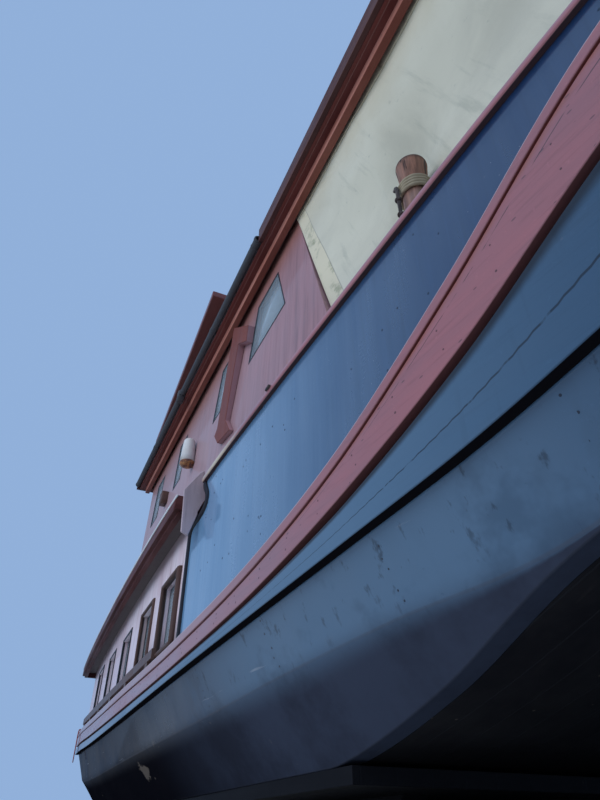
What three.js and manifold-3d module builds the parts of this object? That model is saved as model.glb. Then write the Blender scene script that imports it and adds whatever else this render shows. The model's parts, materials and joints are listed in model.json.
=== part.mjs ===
// Two-level wooden houseboat, hauled out and standing on its keel runners.
// Millimetres, +X towards the bow, +Y to port, +Z up.
// The origin is on the ground, below the middle of the boat's box.
import * as THREE from "three";
import { mergeVertices } from "three/addons/utils/BufferGeometryUtils.js";
import Module from "manifold-3d";

const wasm = await Module();
wasm.setup();

// Driving dimensions
const GAP = 0.3; // gap left between touching pieces
const STRAKE_OUT = 55; // how far the rubbing strakes stand off the planking
const PLANK = 70; // hull side thickness
const BULWARK = 40; // bulwark panel thickness
const CABIN_WALL = 45; // cabin wall thickness
const BOTTOM_Z = 300; // underside of the flat bottom
const DOUBLING = 75; // extra bottom layer
const BREAK_X = 1580; // where the flat bottom ends and the rake to the bow begins
const TRANSOM_X = -6850;
const RAIL_END_X = 170; // aft end of the cap rail
const BULWARK_END_X = -130; // aft end of the blue bulwark, below the rail's scroll
const SCROLL_Z = 2035; // top of the bulwark aft of the scroll
const CABIN_FRONT_X = 2080; // foot of the saloon's raked front
const CABIN_FRONT_RAKE = 0.34; // run aft for each mm up
const SALOON_BACK_X = -3500;
const SALOON_HALF = 1840; // half breadth of the saloon at the rail's height
const TUMBLEHOME = 0.03; // lean inboard for each mm up
const RAIL_DATUM_Z = 2400;
const MAIN_ROOF_Z = 4210;
const MAIN_ROOF_THICK = 120;
const MAIN_ROOF_HALF = 2000;
const MAIN_ROOF_AFT_X = -3770;
const MAIN_ROOF_FORE_X = 5450;
const AFT_ROOF_Z = 2130;
const AFT_ROOF_THICK = 75;
const AFT_ROOF_OVERHANG = 140;
const AFT_CABIN_BACK_X = -5900;
const AFT_SOLE_Z = 440;
const AFT_ROOF_FORE_X = 95;
const AFT_DECK_Z = 900;
const ENGINE_BULKHEAD_X = 120;
const FOREDECK_Z = 1600;
const FOREDECK_THICK = 45;
const WHEELHOUSE = { x0: -3300, x1: 120, half: 1660, z: 4780, rake: 0.9, roof: 80 };
const BESIDE = { in: 1400, out: 2300 }; // y range that holds either side's walls, for window cutters

// Hull stations, stern to stem. Columns: x, half breadth at the strakes, rail top, strake top,
// strake foot, wale foot, upper chine half breadth and height, lower chine half breadth and
// height, and how far the chines lie aft of the station.
const STATIONS = [
  [-6850, 1790, 1700, 1425, 1235, 1130, 1610, 800, 1400, 560, 0],
  [-5700, 1875, 1800, 1355, 1170, 1065, 1725, 710, 1490, 400, 0],
  [-4300, 1950, 2000, 1270, 1085, 985, 1810, 650, 1560, BOTTOM_Z, 0],
  [-2000, 2030, 2250, 1180, 1000, 920, 1850, 650, 1580, BOTTOM_Z, 0],
  [100, 2050, 2341, 1150, 985, 915, 1850, 655, 1570, BOTTOM_Z, 0],
  [1400, 1995, 2380, 1260, 1070, 960, 1800, 690, 1560, BOTTOM_Z, 0],
  [2300, 1940, 2410, 1450, 1215, 1005, 1735, 712, 1570, 470, 0],
  [3100, 1880, 2450, 1770, 1430, 1060, 1655, 722, 1640, 690, 0],
  [3900, 1800, 2500, 2185, 1770, 1190, 1550, 930, 1535, 900, 0],
  [4900, 1650, 2600, 2460, 2030, 1370, 1370, 1180, 1355, 1150, 40],
  [5800, 1380, 2700, 2575, 2160, 1560, 1090, 1440, 1075, 1410, 120],
  [6500, 1010, 2790, 2665, 2270, 1740, 740, 1680, 725, 1650, 230],
  [7000, 560, 2860, 2735, 2370, 1900, 370, 1850, 355, 1820, 350],
  [7200, 120, 2900, 2775, 2420, 1985, 80, 1945, 70, 1915, 440],
];
const COLUMN = { x: 0, half: 1, rail: 2, top: 3, low: 4, wale: 5, chineB: 6, chineZ: 7, lowB: 8, lowZ: 9, pull: 10 };
const STEPS_PER_STATION = 3;

const paint = (color, roughness = 0.5, metalness = 0) =>
  new THREE.MeshStandardMaterial({ color, roughness, metalness });
const NAVY = 0x16202b;
const MAROON = 0x6d2a26;
const DULL_RED = 0x7a4038;
const DARK_RED = 0x431a16;
const BROWN = 0x2a1b17;
const BLACK = 0x15161a;
const OAK = 0x6b4a36;
const CANVAS = 0xb9b29c;
const DECK = 0x8a8272;
const GLASS = 0x6f8ea6;
const METAL = 0x8d8f90;
const ROPE_TAN = 0x9c8b6f;
const ROPE_RED = 0x8f2a20;
const BRONZE = 0x8c6b3a;

// Solids and booleans
function bare(geometry) {
  const copy = geometry.index ? geometry.toNonIndexed() : geometry.clone();
  for (const name of Object.keys(copy.attributes)) {
    if (name !== "position") copy.deleteAttribute(name);
  }
  return mergeVertices(copy, 1e-3);
}

function toSolid(geometry) {
  const merged = bare(geometry);
  return new wasm.Manifold(new wasm.Mesh({
    numProp: 3,
    vertProperties: new Float32Array(merged.attributes.position.array),
    triVerts: new Uint32Array(merged.index.array),
  }));
}

function fromSolid(solid) {
  const mesh = solid.getMesh();
  const geometry = new THREE.BufferGeometry();
  geometry.setAttribute("position", new THREE.BufferAttribute(Float32Array.from(mesh.vertProperties), 3));
  geometry.setIndex(new THREE.BufferAttribute(Uint32Array.from(mesh.triVerts), 1));
  return geometry;
}

const cut = (geometry, ...tools) =>
  fromSolid(tools.reduce((rest, tool) => rest.subtract(toSolid(tool)), toSolid(geometry)));
const keep = (geometry, tool) => fromSolid(toSolid(geometry).intersect(toSolid(tool)));
const fuse = (...geometries) =>
  fromSolid(geometries.slice(1).reduce((sum, next) => sum.add(toSolid(next)), toSolid(geometries[0])));

function mirrored(geometry) {
  const flipped = bare(geometry);
  const position = flipped.attributes.position;
  for (let i = 0; i < position.count; i++) position.setY(i, -position.getY(i));
  const index = flipped.index.array;
  for (let i = 0; i < index.length; i += 3) [index[i], index[i + 1]] = [index[i + 1], index[i]];
  return flipped;
}

// A closed skin over rows of equal sections, with a triangulated cap at each end.
// flat gives a cap's two coordinates.
function loft(rows, flat = ([, y, z]) => [y, z]) {
  const count = rows[0].length;
  const positions = rows.flat(2);
  const index = [];
  for (let r = 0; r + 1 < rows.length; r++) {
    for (let i = 0; i < count; i++) {
      const a = r * count + i;
      const b = r * count + ((i + 1) % count);
      index.push(a, b, b + count, a, b + count, a + count);
    }
  }
  const outline = (row) => row.map((point) => new THREE.Vector2(...flat(point)));
  const cap = (row, base, reverse) => {
    for (const [a, b, c] of THREE.ShapeUtils.triangulateShape(outline(row), [])) {
      index.push(...(reverse ? [base + a, base + b, base + c] : [base + a, base + c, base + b]));
    }
  };
  const turned = THREE.ShapeUtils.area(outline(rows[0])) > 0;
  cap(rows[0], 0, !turned);
  cap(rows[rows.length - 1], (rows.length - 1) * count, turned);
  const geometry = new THREE.BufferGeometry();
  geometry.setAttribute("position", new THREE.Float32BufferAttribute(positions, 3));
  geometry.setIndex(index);
  return volume(geometry) < 0 ? inverted(geometry) : geometry;
}

function volume(geometry) {
  const p = geometry.attributes.position;
  const index = geometry.index.array;
  const [a, b, c] = [new THREE.Vector3(), new THREE.Vector3(), new THREE.Vector3()];
  let sum = 0;
  for (let i = 0; i < index.length; i += 3) {
    a.fromBufferAttribute(p, index[i]);
    b.fromBufferAttribute(p, index[i + 1]);
    c.fromBufferAttribute(p, index[i + 2]);
    sum += a.dot(b.cross(c));
  }
  return sum / 6;
}

function inverted(geometry) {
  const index = geometry.index.array;
  for (let i = 0; i < index.length; i += 3) [index[i], index[i + 1]] = [index[i + 1], index[i]];
  return geometry;
}

// Plain blocks, plates and rods
function block(x0, x1, y0, y1, z0, z1) {
  return new THREE.BoxGeometry(x1 - x0, y1 - y0, z1 - z0)
    .translate((x0 + x1) / 2, (y0 + y1) / 2, (z0 + z1) / 2);
}

function shapeOf(points) {
  return new THREE.Shape(points.map(([a, b]) => new THREE.Vector2(a, b)));
}

// Outline in plan, from z0 to z1
function plate(points, z0, z1) {
  return new THREE.ExtrudeGeometry(shapeOf(points), { depth: z1 - z0, bevelEnabled: false }).translate(0, 0, z0);
}

// Outline in side view (x, z), from y0 to y1
function sidePlate(points, y0, y1) {
  return new THREE.ExtrudeGeometry(shapeOf(points), { depth: y1 - y0, bevelEnabled: false })
    .rotateX(Math.PI / 2).translate(0, y1, 0);
}

// Outline in end view (y, z), from x0 to x1
function endPlate(points, x0, x1) {
  return new THREE.ExtrudeGeometry(shapeOf(points), { depth: x1 - x0, bevelEnabled: false })
    .rotateX(Math.PI / 2).rotateZ(Math.PI / 2).translate(x0, 0, 0);
}

function rod(from, to, radius, sides = 12) {
  const a = new THREE.Vector3(...from);
  const b = new THREE.Vector3(...to);
  const turn = new THREE.Quaternion().setFromUnitVectors(new THREE.Vector3(0, 1, 0), b.clone().sub(a).normalize());
  return new THREE.CylinderGeometry(radius, radius, a.distanceTo(b), sides)
    .applyQuaternion(turn).translate(...a.add(b).multiplyScalar(0.5).toArray());
}

function tube(points, radius, steps, sides = 8) {
  const section = new THREE.Shape();
  for (let i = 0; i < sides; i++) {
    const angle = (2 * Math.PI * i) / sides;
    section[i ? "lineTo" : "moveTo"](radius * Math.cos(angle), radius * Math.sin(angle));
  }
  const path = new THREE.CatmullRomCurve3(points.map((p) => new THREE.Vector3(...p)));
  return new THREE.ExtrudeGeometry(section, { steps, bevelEnabled: false, extrudePath: path });
}

// Hull lines. Each is a smooth curve through the stations, sampled at the same steps.
const SAMPLES = (STATIONS.length - 1) * STEPS_PER_STATION;
function column(name) {
  const curve = new THREE.CatmullRomCurve3(
    STATIONS.map((row) => new THREE.Vector3(row[COLUMN.x], row[COLUMN[name]], 0)), false, "centripetal");
  return Array.from({ length: SAMPLES + 1 }, (_, i) => curve.getPoint(i / SAMPLES));
}
const LINES = Object.fromEntries(Object.keys(COLUMN).map((name) => [name, column(name)]));
const hullRows = LINES.half.map((point, i) => {
  const before = LINES.half[Math.max(i - 1, 0)];
  const after = LINES.half[Math.min(i + 1, SAMPLES)];
  const run = new THREE.Vector2(after.x - before.x, after.y - before.y).normalize();
  const row = { x: point.x, half: point.y, nx: -run.y, ny: run.x };
  for (const name of ["rail", "top", "low", "wale", "chineB", "chineZ", "lowB", "lowZ", "pull"]) {
    row[name] = LINES[name][i].y;
  }
  row.lowZ = Math.max(row.lowZ, BOTTOM_Z);
  return row;
});

// One hull row at any x, between the sampled rows
function rowAt(x) {
  const last = hullRows.length - 1;
  let i = hullRows.findIndex((row) => row.x >= x);
  if (i < 0) i = last;
  i = Math.max(i, 1);
  const [a, b] = [hullRows[i - 1], hullRows[i]];
  const t = (x - a.x) / (b.x - a.x);
  return Object.fromEntries(Object.keys(a).map((key) => [key, a[key] + (b[key] - a[key]) * t]));
}

// The sampled rows from x0 to x1, with the two ends exactly there
function rowsBetween(x0, x1) {
  const inside = hullRows.filter((row) => row.x > x0 + 20 && row.x < x1 - 20);
  return [rowAt(x0), ...inside, rowAt(x1)];
}

// A point of the starboard side, set in from the strakes' line along the plan's normal
const side = (row, inset, z, pull = 0) =>
  [row.x - row.nx * inset - pull, -Math.max(row.half - row.ny * inset, 0), z];

// A band that follows the starboard side between two insets and two heights
function band(rows, inner, outer, low, high) {
  return loft(rows.map((row) => [
    side(row, inner, low(row)), side(row, outer, low(row)),
    side(row, outer, high(row)), side(row, inner, high(row)),
  ]));
}

// At the wale's foot the planking lies a little further in, and follows part of the chines' pull aft
const WALE_SET_IN = 4;
const WALE_PULL = 0.6;

// Hull: an open wooden tub, planked sides and bottom. Each half reaches 1 mm over the middle.
function twoHalves(rows) {
  const half = loft(rows.map((points) => {
    const [first, last] = [points[0], points[points.length - 1]];
    return [[first[0], 1, first[2]], ...points, [last[0], 1, last[2]]];
  }));
  return fuse(half, mirrored(half));
}
function hullTub() {
  const outer = twoHalves(hullRows.map((row) => [
    [row.x - row.pull, -row.lowB, row.lowZ],
    [row.x - row.pull, -row.chineB, row.chineZ],
    side(row, STRAKE_OUT + WALE_SET_IN, row.wale, row.pull * WALE_PULL),
    side(row, STRAKE_OUT, row.low),
    side(row, STRAKE_OUT, row.top),
  ]));
  return cut(outer, hullRoom(0));
}

// The space inside the hull's planking, and above it up to the rail, drawn in by a margin
const ROOM = { transom: 90, stem: 6650, bottom: 70, lowIn: 90, chineIn: 85, chineUp: 45, over: 400, least: 2300 };
function hullRoom(margin) {
  const inset = STRAKE_OUT + PLANK + margin;
  return twoHalves(rowsBetween(TRANSOM_X + ROOM.transom + margin, ROOM.stem).map((row) => [
    [row.x - row.pull, -row.lowB + ROOM.lowIn + margin, row.lowZ + ROOM.bottom + margin],
    [row.x - row.pull, -row.chineB + ROOM.chineIn + margin, row.chineZ + ROOM.chineUp],
    side(row, inset, row.wale, row.pull * WALE_PULL),
    side(row, inset, row.low),
    side(row, inset, Math.max(row.top + ROOM.over, ROOM.least)),
  ]));
}

// The tub in its four pieces: transom, bottom planking, and the two sides with their chines and bow
const SEAM_IN = 100; // the bottom's seam, inboard of the lower chine
const BOTTOM_FORE_X = 6500; // the bow's solid timber starts here
const transomFace = TRANSOM_X + ROOM.transom;
const abaft = (margin) => block(TRANSOM_X - 300, transomFace + margin, -BESIDE.out, BESIDE.out, 0, AFT_ROOF_Z);
const bottomSpace = (margin) => twoHalves(rowsBetween(transomFace - 20, BOTTOM_FORE_X).map((row) => {
  const x = row.x - row.pull + (row.x === BOTTOM_FORE_X ? margin : 0);
  const edge = -row.lowB + SEAM_IN - margin;
  return [[x, edge, row.lowZ - 60], [x, edge, row.lowZ + ROOM.bottom + 15]];
}));
function hullPieces() {
  const tub = beforeStem(hullTub());
  const forward = cut(tub, abaft(GAP));
  const port = block(TRANSOM_X, STEM.head[0], -GAP, BESIDE.out, 0, STEM.head[1]);
  return { transom: keep(tub, abaft(0)), bottom: keep(forward, bottomSpace(0)), side: cut(forward, bottomSpace(GAP), port) };
}

const DOUBLING_AFT_X = -4400;
const DOUBLING_HALF = 1575;
function bottomDoubling() {
  const rows = rowsBetween(DOUBLING_AFT_X, BREAK_X);
  const z = BOTTOM_Z - GAP;
  const half = (row) => Math.min(row.lowB, DOUBLING_HALF);
  const layer = plate([
    ...rows.map((row) => [row.x, -half(row)]), ...[...rows].reverse().map((row) => [row.x, half(row)]),
  ], z - DOUBLING, z);
  return fuse(layer, sideRunner(1), sideRunner(-1), centreKeel());
}

// Keel runners under the bottom: two side runners, bolted up to the doubling, and the centre keel
const RUNNER = { x0: -4350, x1: 1150, y: 950, half: 80, ease: 240 };
const KEEL = { x0: -6560, x1: 1350, half: 90 };
const runnerTop = BOTTOM_Z - DOUBLING - 2 * GAP;
function sideRunner(s) {
  const { x0, x1, y, half, ease } = RUNNER;
  const top = runnerTop + 1;
  return sidePlate([[x0, top], [x0 + ease, 0], [x1 - ease, 0], [x1, top]], s * y - half, s * y + half);
}
function centreKeel() {
  const { x0, x1, half } = KEEL;
  const under = (x) => rowAt(x).lowZ - 2 * GAP;
  const rise = hullRows.filter((row) => row.x > x0 + 50 && row.x < DOUBLING_AFT_X - 30).map((row) => row.x).reverse();
  return sidePlate([[x0, 0], [x1 - RUNNER.ease, 0], [x1, runnerTop + 2], [DOUBLING_AFT_X, runnerTop + 2],
    [DOUBLING_AFT_X, under(DOUBLING_AFT_X)], ...rise.map((x) => [x, under(x)]), [x0, under(x0)]], -half, half);
}

// Strakes: the narrow one lies on top of the broad one, and the wale below them
const STRAKE_AFT_X = TRANSOM_X - 60;
const STRAKE_FORE_X = 7200;
const NARROW_HIGH = 62;
const NARROW_PROUD = 8;
const strakeRows = () => rowsBetween(STRAKE_AFT_X, STRAKE_FORE_X);
const atPlanking = STRAKE_OUT - GAP;
const narrow = () => band(strakeRows(), atPlanking, -NARROW_PROUD, (row) => row.top - NARROW_HIGH, (row) => row.top - GAP);
const broad = () => band(strakeRows(), atPlanking, 0, (row) => row.low, (row) => row.top - NARROW_HIGH + 1);
const strakes = () => fuse(broad(), narrow());
function wale() {
  return loft(strakeRows().map((row) => [
    side(row, STRAKE_OUT + WALE_SET_IN - GAP, row.wale, row.pull * WALE_PULL),
    side(row, STRAKE_OUT - GAP, row.low - GAP),
    side(row, WALE_SET_IN, row.low - GAP), side(row, WALE_SET_IN, row.wale, row.pull * WALE_PULL),
  ]));
}

// Stem post, and the room that the pieces on each side leave for it
const STEM = { half: 75, foot: [6480, 1840], toe: [6790, 1830], knee: [7200, 2480], head: [7250, 3010], depth: 240 };
function stemOutline(grow) {
  const { foot, toe, knee, head, depth } = STEM;
  return [
    [foot[0] - grow, foot[1] - grow], [toe[0] + grow, toe[1] - grow], [knee[0] + grow, knee[1]],
    [head[0] + grow, head[1] + grow], [head[0] - depth - grow, head[1] + grow],
  ];
}
const stemPost = () => sidePlate(stemOutline(0), -STEM.half, STEM.half);
const beforeStem = (geometry) => cut(geometry, sidePlate(stemOutline(GAP), -STEM.half - GAP, STEM.half + GAP),
  block(STEM.knee[0] - 100, STEM.head[0] + 350, -STEM.half - GAP, STEM.half + GAP, STEM.foot[1] - 340, STEM.head[1] + 490));

// Bulwark, with a scroll where the rail ends and the bulwark drops to pass under the aft roof
const RAIL_HIGH = 45;
const scroll = { x: RAIL_END_X, aft: BULWARK_END_X, z: SCROLL_Z };
// Edge of the scroll in side view, drawn in by a margin
function scrollEdge(shape, margin) {
  const rail = rowAt(scroll.x).rail;
  shape.bezierCurveTo(scroll.x + margin, rail - 120, scroll.x + 95 + margin, rail - 170,
    scroll.x + 85 + margin, scroll.z + 95);
  shape.bezierCurveTo(scroll.x + 75 + margin, scroll.z + 25 - margin, scroll.x - 60, scroll.z + 27 - margin,
    scroll.x - 140, scroll.z + 26 - margin);
  shape.bezierCurveTo(scroll.x - 230, scroll.z + 25 - margin, scroll.aft + 10 + margin, scroll.z + 22 - margin,
    scroll.aft + margin, scroll.z - 30 - margin);
}
const BULWARK_FORE_X = 7150;
function bulwark() {
  const rows = rowsBetween(BULWARK_END_X, BULWARK_FORE_X);
  const panel = band(rows, STRAKE_OUT + BULWARK, STRAKE_OUT, (row) => row.top + GAP,
    (row) => Math.max(row.rail - RAIL_HIGH, scroll.z + 165) - GAP);
  const waste = new THREE.Shape();
  const above = rowAt(scroll.x).rail + 260;
  waste.moveTo(scroll.x, above);
  waste.lineTo(scroll.x, rowAt(scroll.x).rail - RAIL_HIGH);
  scrollEdge(waste, 0);
  waste.lineTo(scroll.aft - 50, scroll.z - 30);
  waste.lineTo(scroll.aft - 50, above);
  const tool = new THREE.ExtrudeGeometry(waste, { depth: 600, bevelEnabled: false, curveSegments: 8 })
    .rotateX(Math.PI / 2).translate(0, -1600, 0);
  return cut(panel, tool, railBand().translate(0, 0, -GAP));
}
// The rail's breadth over the bulwark: outboard and inboard of it
const RAIL_OVER = { out: 32, in: 42 };
const railBand = () => band(rowsBetween(RAIL_END_X + 1, BULWARK_FORE_X), STRAKE_OUT + BULWARK + RAIL_OVER.in,
  STRAKE_OUT - RAIL_OVER.out, (row) => row.rail - RAIL_HIGH, (row) => row.rail);
// Cap rail, notched where the saloon's wall passes it
const capRail = () => cut(railBand(), leaningSlab({ x0: SALOON_BACK_X - 100, x1: frontX(RAIL_DATUM_Z - 100) + GAP,
  outer: -GAP, inner: 400, z0: RAIL_DATUM_Z - 200, z1: RAIL_DATUM_Z + 200 }));

// Moulding that follows the bulwark's after end, on its outer face
const END_MOULDING = { wide: 60, proud: 16, deep: 20 };
function bulwarkEnd() {
  const { wide, proud, deep } = END_MOULDING;
  const { rail } = rowAt(scroll.x);
  const foot = rowAt(scroll.aft).top + 2 * GAP;
  const outline = new THREE.Shape();
  outline.moveTo(scroll.x, rail - RAIL_HIGH - 2 * GAP);
  scrollEdge(outline, 0);
  outline.lineTo(scroll.aft, foot);
  outline.lineTo(scroll.aft + wide, foot);
  outline.lineTo(scroll.aft + wide, scroll.z - 60);
  outline.lineTo(scroll.x - 140, scroll.z - 25);
  outline.lineTo(scroll.x + 90, scroll.z + 5);
  outline.lineTo(scroll.x + 150, scroll.z + 95);
  outline.lineTo(scroll.x + 60, rail - RAIL_HIGH - 2 * GAP);
  const y = -(rowAt(scroll.x).half - STRAKE_OUT);
  return new THREE.ExtrudeGeometry(outline, { depth: deep, bevelEnabled: false, curveSegments: 8 })
    .rotateX(Math.PI / 2).translate(0, y + deep - proud, 0);
}

// Flat bracket board across the forward end of the aft cabin's roof edge, as [y, z] corners
const BRACKET = [[-1995, 2450], [-2030, 2420], [-2140, 2250], [-2125, 1900], [-2070, 1875], [-2013, 2060], [-2013, 2080],
  [-1963, 2200], [-1970, 2360]];
const BRACKET_THICK = 25;
const roofBracket = () => endPlate(BRACKET, AFT_ROOF_FORE_X + GAP, AFT_ROOF_FORE_X + BRACKET_THICK);

// Low timber rail along the deck's edge beside the aft cabin, on black chocks
const TOE = { x0: -5850, x1: -700, inner: 30, outer: -4, high: 75, chock: 40, chocks: 6, firstChock: 200 };
function toeRail() {
  const foot = (row) => row.top + TOE.chock;
  const rail = band(rowsBetween(TOE.x0, TOE.x1), TOE.inner, TOE.outer, foot, (row) => foot(row) + TOE.high);
  const chocks = Array.from({ length: TOE.chocks }, (_, i) => {
    const x = TOE.x0 + TOE.firstChock + ((TOE.x1 - TOE.x0 - 2 * TOE.firstChock) * i) / (TOE.chocks - 1);
    return band([rowAt(x - 45), rowAt(x + 45)], TOE.inner + 4, 0, (row) => row.top, (row) => foot(row) + 20);
  });
  return fuse(rail, ...chocks);
}

// Decks and floors, cut to the inside of the hull
const within = (x0, x1, z0, z1) => keep(block(x0, x1, -BESIDE.out, BESIDE.out, z0, z1), hullRoom(GAP));
const HATCH = { x: 4300, half: 330, wall: 35, coaming: 110, lid: 40 };
const foredeckTop = FOREDECK_Z + FOREDECK_THICK;
const hatchFrame = ({ x, half }, z0, z1) => block(x - half, x + half, -half, half, z0, z1);
const hatchHole = ({ x, half, wall }, z0, z1) =>
  block(x - half + wall, x + half - wall, -half + wall, half - wall, z0, z1);
function foredeck() {
  const deck = within(2000, 6600, FOREDECK_Z, foredeckTop);
  const rim = hatchFrame(HATCH, FOREDECK_Z, foredeckTop + HATCH.coaming);
  return cut(fuse(deck, rim), hatchHole(HATCH, FOREDECK_Z - 10, foredeckTop + HATCH.coaming + 10));
}
// A lid that lies over its coaming's edges on a soft seal, hinged at its aft edge
const LID = { over: 12, seal: 5.3 };
const lidAxis = ({ x, half }, z) => [x - half - HINGE.out, z - 2];
function hatchLid(hatch, z) {
  const { x, half, lid } = hatch;
  const { over, seal } = LID;
  const [hx, hz] = lidAxis(hatch, z);
  const barrels = [-1, 1].map((s) => s * (half - HINGE.fromLidEnd)).map((y) =>
    rod([hx, y - HINGE.half, hz], [hx, y + HINGE.half, hz], HINGE.r, 16));
  return fuse(block(x - half - over, x + half + over, -half - over, half + over, z + seal, z + lid), ...barrels);
}

// Aft cabin
const AFT_WINDOWS = [-770, -1700, -2800, -3900, -5050]; // aft edge of each window
const WINDOW = { wide: 500, high: 545, above: 70, pane: 8 };
const AFT_WALL_FORE_X = BULWARK_END_X - GAP;
const aftSill = (x) => rowAt(x + WINDOW.wide / 2).top + WINDOW.above;
function aftWall() {
  const wall = band(rowsBetween(AFT_CABIN_BACK_X, AFT_WALL_FORE_X), STRAKE_OUT + CABIN_WALL, STRAKE_OUT,
    (row) => row.top + GAP, () => AFT_ROOF_Z - GAP);
  return cut(wall, ...AFT_WINDOWS.map((x) =>
    block(x, x + WINDOW.wide, -BESIDE.out, -BESIDE.in, aftSill(x), aftSill(x) + WINDOW.high)));
}
const innerFace = STRAKE_OUT + CABIN_WALL + GAP;
// Glazing behind the windows of one side and of the half bulkhead beside it, as one bent sheet
const GLASS_OVER = 60; // how far glazing laps over its opening's edges
function aftGlass() {
  const fore = AFT_WINDOWS[0] + WINDOW.wide + GLASS_OVER;
  const back = AFT_CABIN_BACK_X + CABIN_WALL + GAP;
  const beside = band(rowsBetween(back, fore), innerFace + WINDOW.pane, innerFace,
    (row) => row.top + WINDOW.above - 30, () => AFT_ROOF_Z - 70);
  const y = AFT_BACK_WINDOWS[0] + BACK_PANE.wide + GLASS_OVER;
  const corner = rowAt(back).half - innerFace - 2;
  return fuse(beside, block(back, back + WINDOW.pane, -corner, y, BACK_PANE.z0 - GLASS_OVER, BACK_PANE.z1 + GLASS_OVER));
}
const DOOR = { wide: 640, thick: 38, gap: 6 };
// Hinges: barrels proud of a door's face on its turning axis, each with a strap to the leaf
const HINGE = { r: 11, out: 11.5, half: 55, strap: 170, plate: 5, y: 320, fromLidEnd: 110 };
const doorway = (x0, x1, { y0, z0, high }) => block(x0, x1, y0, y0 + DOOR.wide, z0, z0 + high);
const aftDeckTop = AFT_DECK_Z + 45;
const AFT_DOOR = { y0: -320, z0: aftDeckTop + 55, high: 1040 };
const AFT_BACK_WINDOWS = [-1200, 700];
const BACK_PANE = { wide: 500, z0: 1500, z1: 1900 };
function aftBulkhead() {
  const x = AFT_CABIN_BACK_X;
  const inside = (z0, z1, half) => block(x, x + CABIN_WALL, -half, half, z0, z1);
  const { half, top } = rowAt(x);
  const wall = fuse(
    keep(inside(aftDeckTop + GAP, top + 10, half), hullRoom(GAP)),
    inside(top + GAP, AFT_ROOF_Z - GAP, half - STRAKE_OUT - CABIN_WALL - 2));
  const through = [x - 10, x + CABIN_WALL + 10];
  return cut(wall, doorway(...through, AFT_DOOR), ...AFT_BACK_WINDOWS.map((y) =>
    block(...through, y, y + BACK_PANE.wide, BACK_PANE.z0, BACK_PANE.z1)));
}
function aftDoor() {
  const { y0, z0, high } = AFT_DOOR;
  const g = DOOR.gap;
  const x = AFT_CABIN_BACK_X + 2;
  const leaf = block(x, x + DOOR.thick, y0 + g, y0 + DOOR.wide - g, z0 + g, z0 + high - g);
  const axis = AFT_CABIN_BACK_X - HINGE.out;
  const hinges = [z0 + 160, z0 + high - 160].flatMap((z) => [
    rod([axis, HINGE.y, z - HINGE.half], [axis, HINGE.y, z + HINGE.half], HINGE.r, 16),
    block(x - HINGE.plate - 4, x + 1, HINGE.y - HINGE.strap, HINGE.y - 5, z - 25, z + 25),
  ]);
  return fuse(leaf, ...hinges);
}

// Roofs. half(x) gives a roof's plan
function roofPlan(x0, x1, half, steps = 8) {
  const xs = Array.from({ length: steps + 1 }, (_, i) => x0 + ((x1 - x0) * i) / steps);
  return [...xs.map((x) => [x, -half(x)]), ...[...xs].reverse().map((x) => [x, half(x)])];
}
const EDGE_BOARD = 40; // thickness of the board round a roof's edge
// Slab of a roof that spans x0 to x1, and the two rings of edge board under and round it.
// step gives the under ring's thickness and how far it hangs below the outer board.
function roofPieces({ x0, x1, half, z, thick, drop, step, steps }) {
  const plan = (inset) => roofPlan(x0 + inset, x1 - inset, (x) => half(x) - inset, steps);
  const ring = (inset, wide, low, high) => cut(plate(plan(inset), low, high), plate(plan(inset + wide), low - 5, high + 5));
  return {
    slab: plate(plan(EDGE_BOARD), z, z + thick - 12),
    outer: ring(0, EDGE_BOARD - GAP, z - drop, z + thick),
    under: ring(EDGE_BOARD - 1, step.wide, z - drop - step.hang, z - GAP),
  };
}
const ROOF_TAPER = { aftFrom: -1000, aft: 0.004, foreFrom: 3300, fore: 0.11 };
const mainRoofHalf = (x) => MAIN_ROOF_HALF - Math.max(0, (ROOF_TAPER.aftFrom - x) * ROOF_TAPER.aft)
  - Math.max(0, (x - ROOF_TAPER.foreFrom) * ROOF_TAPER.fore);
const mainRoofParts = roofPieces({ x0: MAIN_ROOF_AFT_X, x1: MAIN_ROOF_FORE_X, half: mainRoofHalf,
  z: MAIN_ROOF_Z, thick: MAIN_ROOF_THICK, drop: 45, step: { wide: 77, hang: 0 }, steps: 12 });
// The gutter takes the outer board's place along each side, up to a fore end
const GUTTER = { r: 34, z: MAIN_ROOF_Z + 10, fore: 1120, joint: -1350 };
// Deep board along each side, inside the under ring
const DEEP_BOARD = { from: 115, wide: 55, foot: 4080 };
function mainRoofEdge() {
  const aft = MAIN_ROOF_AFT_X + EDGE_BOARD;
  const beside = block(aft, GUTTER.fore + 10, 1900, BESIDE.out, MAIN_ROOF_Z - 100, MAIN_ROOF_Z + 200);
  const board = ({ from, wide, foot }) => {
    const [x0, x1] = [MAIN_ROOF_AFT_X + from, MAIN_ROOF_FORE_X - from];
    const whole = plate(roofPlan(x0, x1, (x) => mainRoofHalf(x) - from, 12), foot, MAIN_ROOF_Z - GAP);
    return cut(whole, plate(roofPlan(x0 - 10, x1 + 10, (x) => mainRoofHalf(x) - from - wide, 12), foot - 5, MAIN_ROOF_Z));
  };
  return fuse(cut(mainRoofParts.outer, beside, mirrored(beside)), mainRoofParts.under, board(DEEP_BOARD));
}
const mainRoofTop = MAIN_ROOF_Z + MAIN_ROOF_THICK - 12;
const AFT_ROOF_BACK_X = AFT_CABIN_BACK_X - 190;
const aftRoofHalf = (x) => rowAt(x).half + AFT_ROOF_OVERHANG;
const aftRoofParts = roofPieces({ x0: AFT_ROOF_BACK_X, x1: AFT_ROOF_FORE_X, half: aftRoofHalf,
  z: AFT_ROOF_Z, thick: AFT_ROOF_THICK, drop: 40, step: { wide: 45, hang: 25 }, steps: 12 });
const aftRoofTop = AFT_ROOF_Z + AFT_ROOF_THICK - 12;
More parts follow.
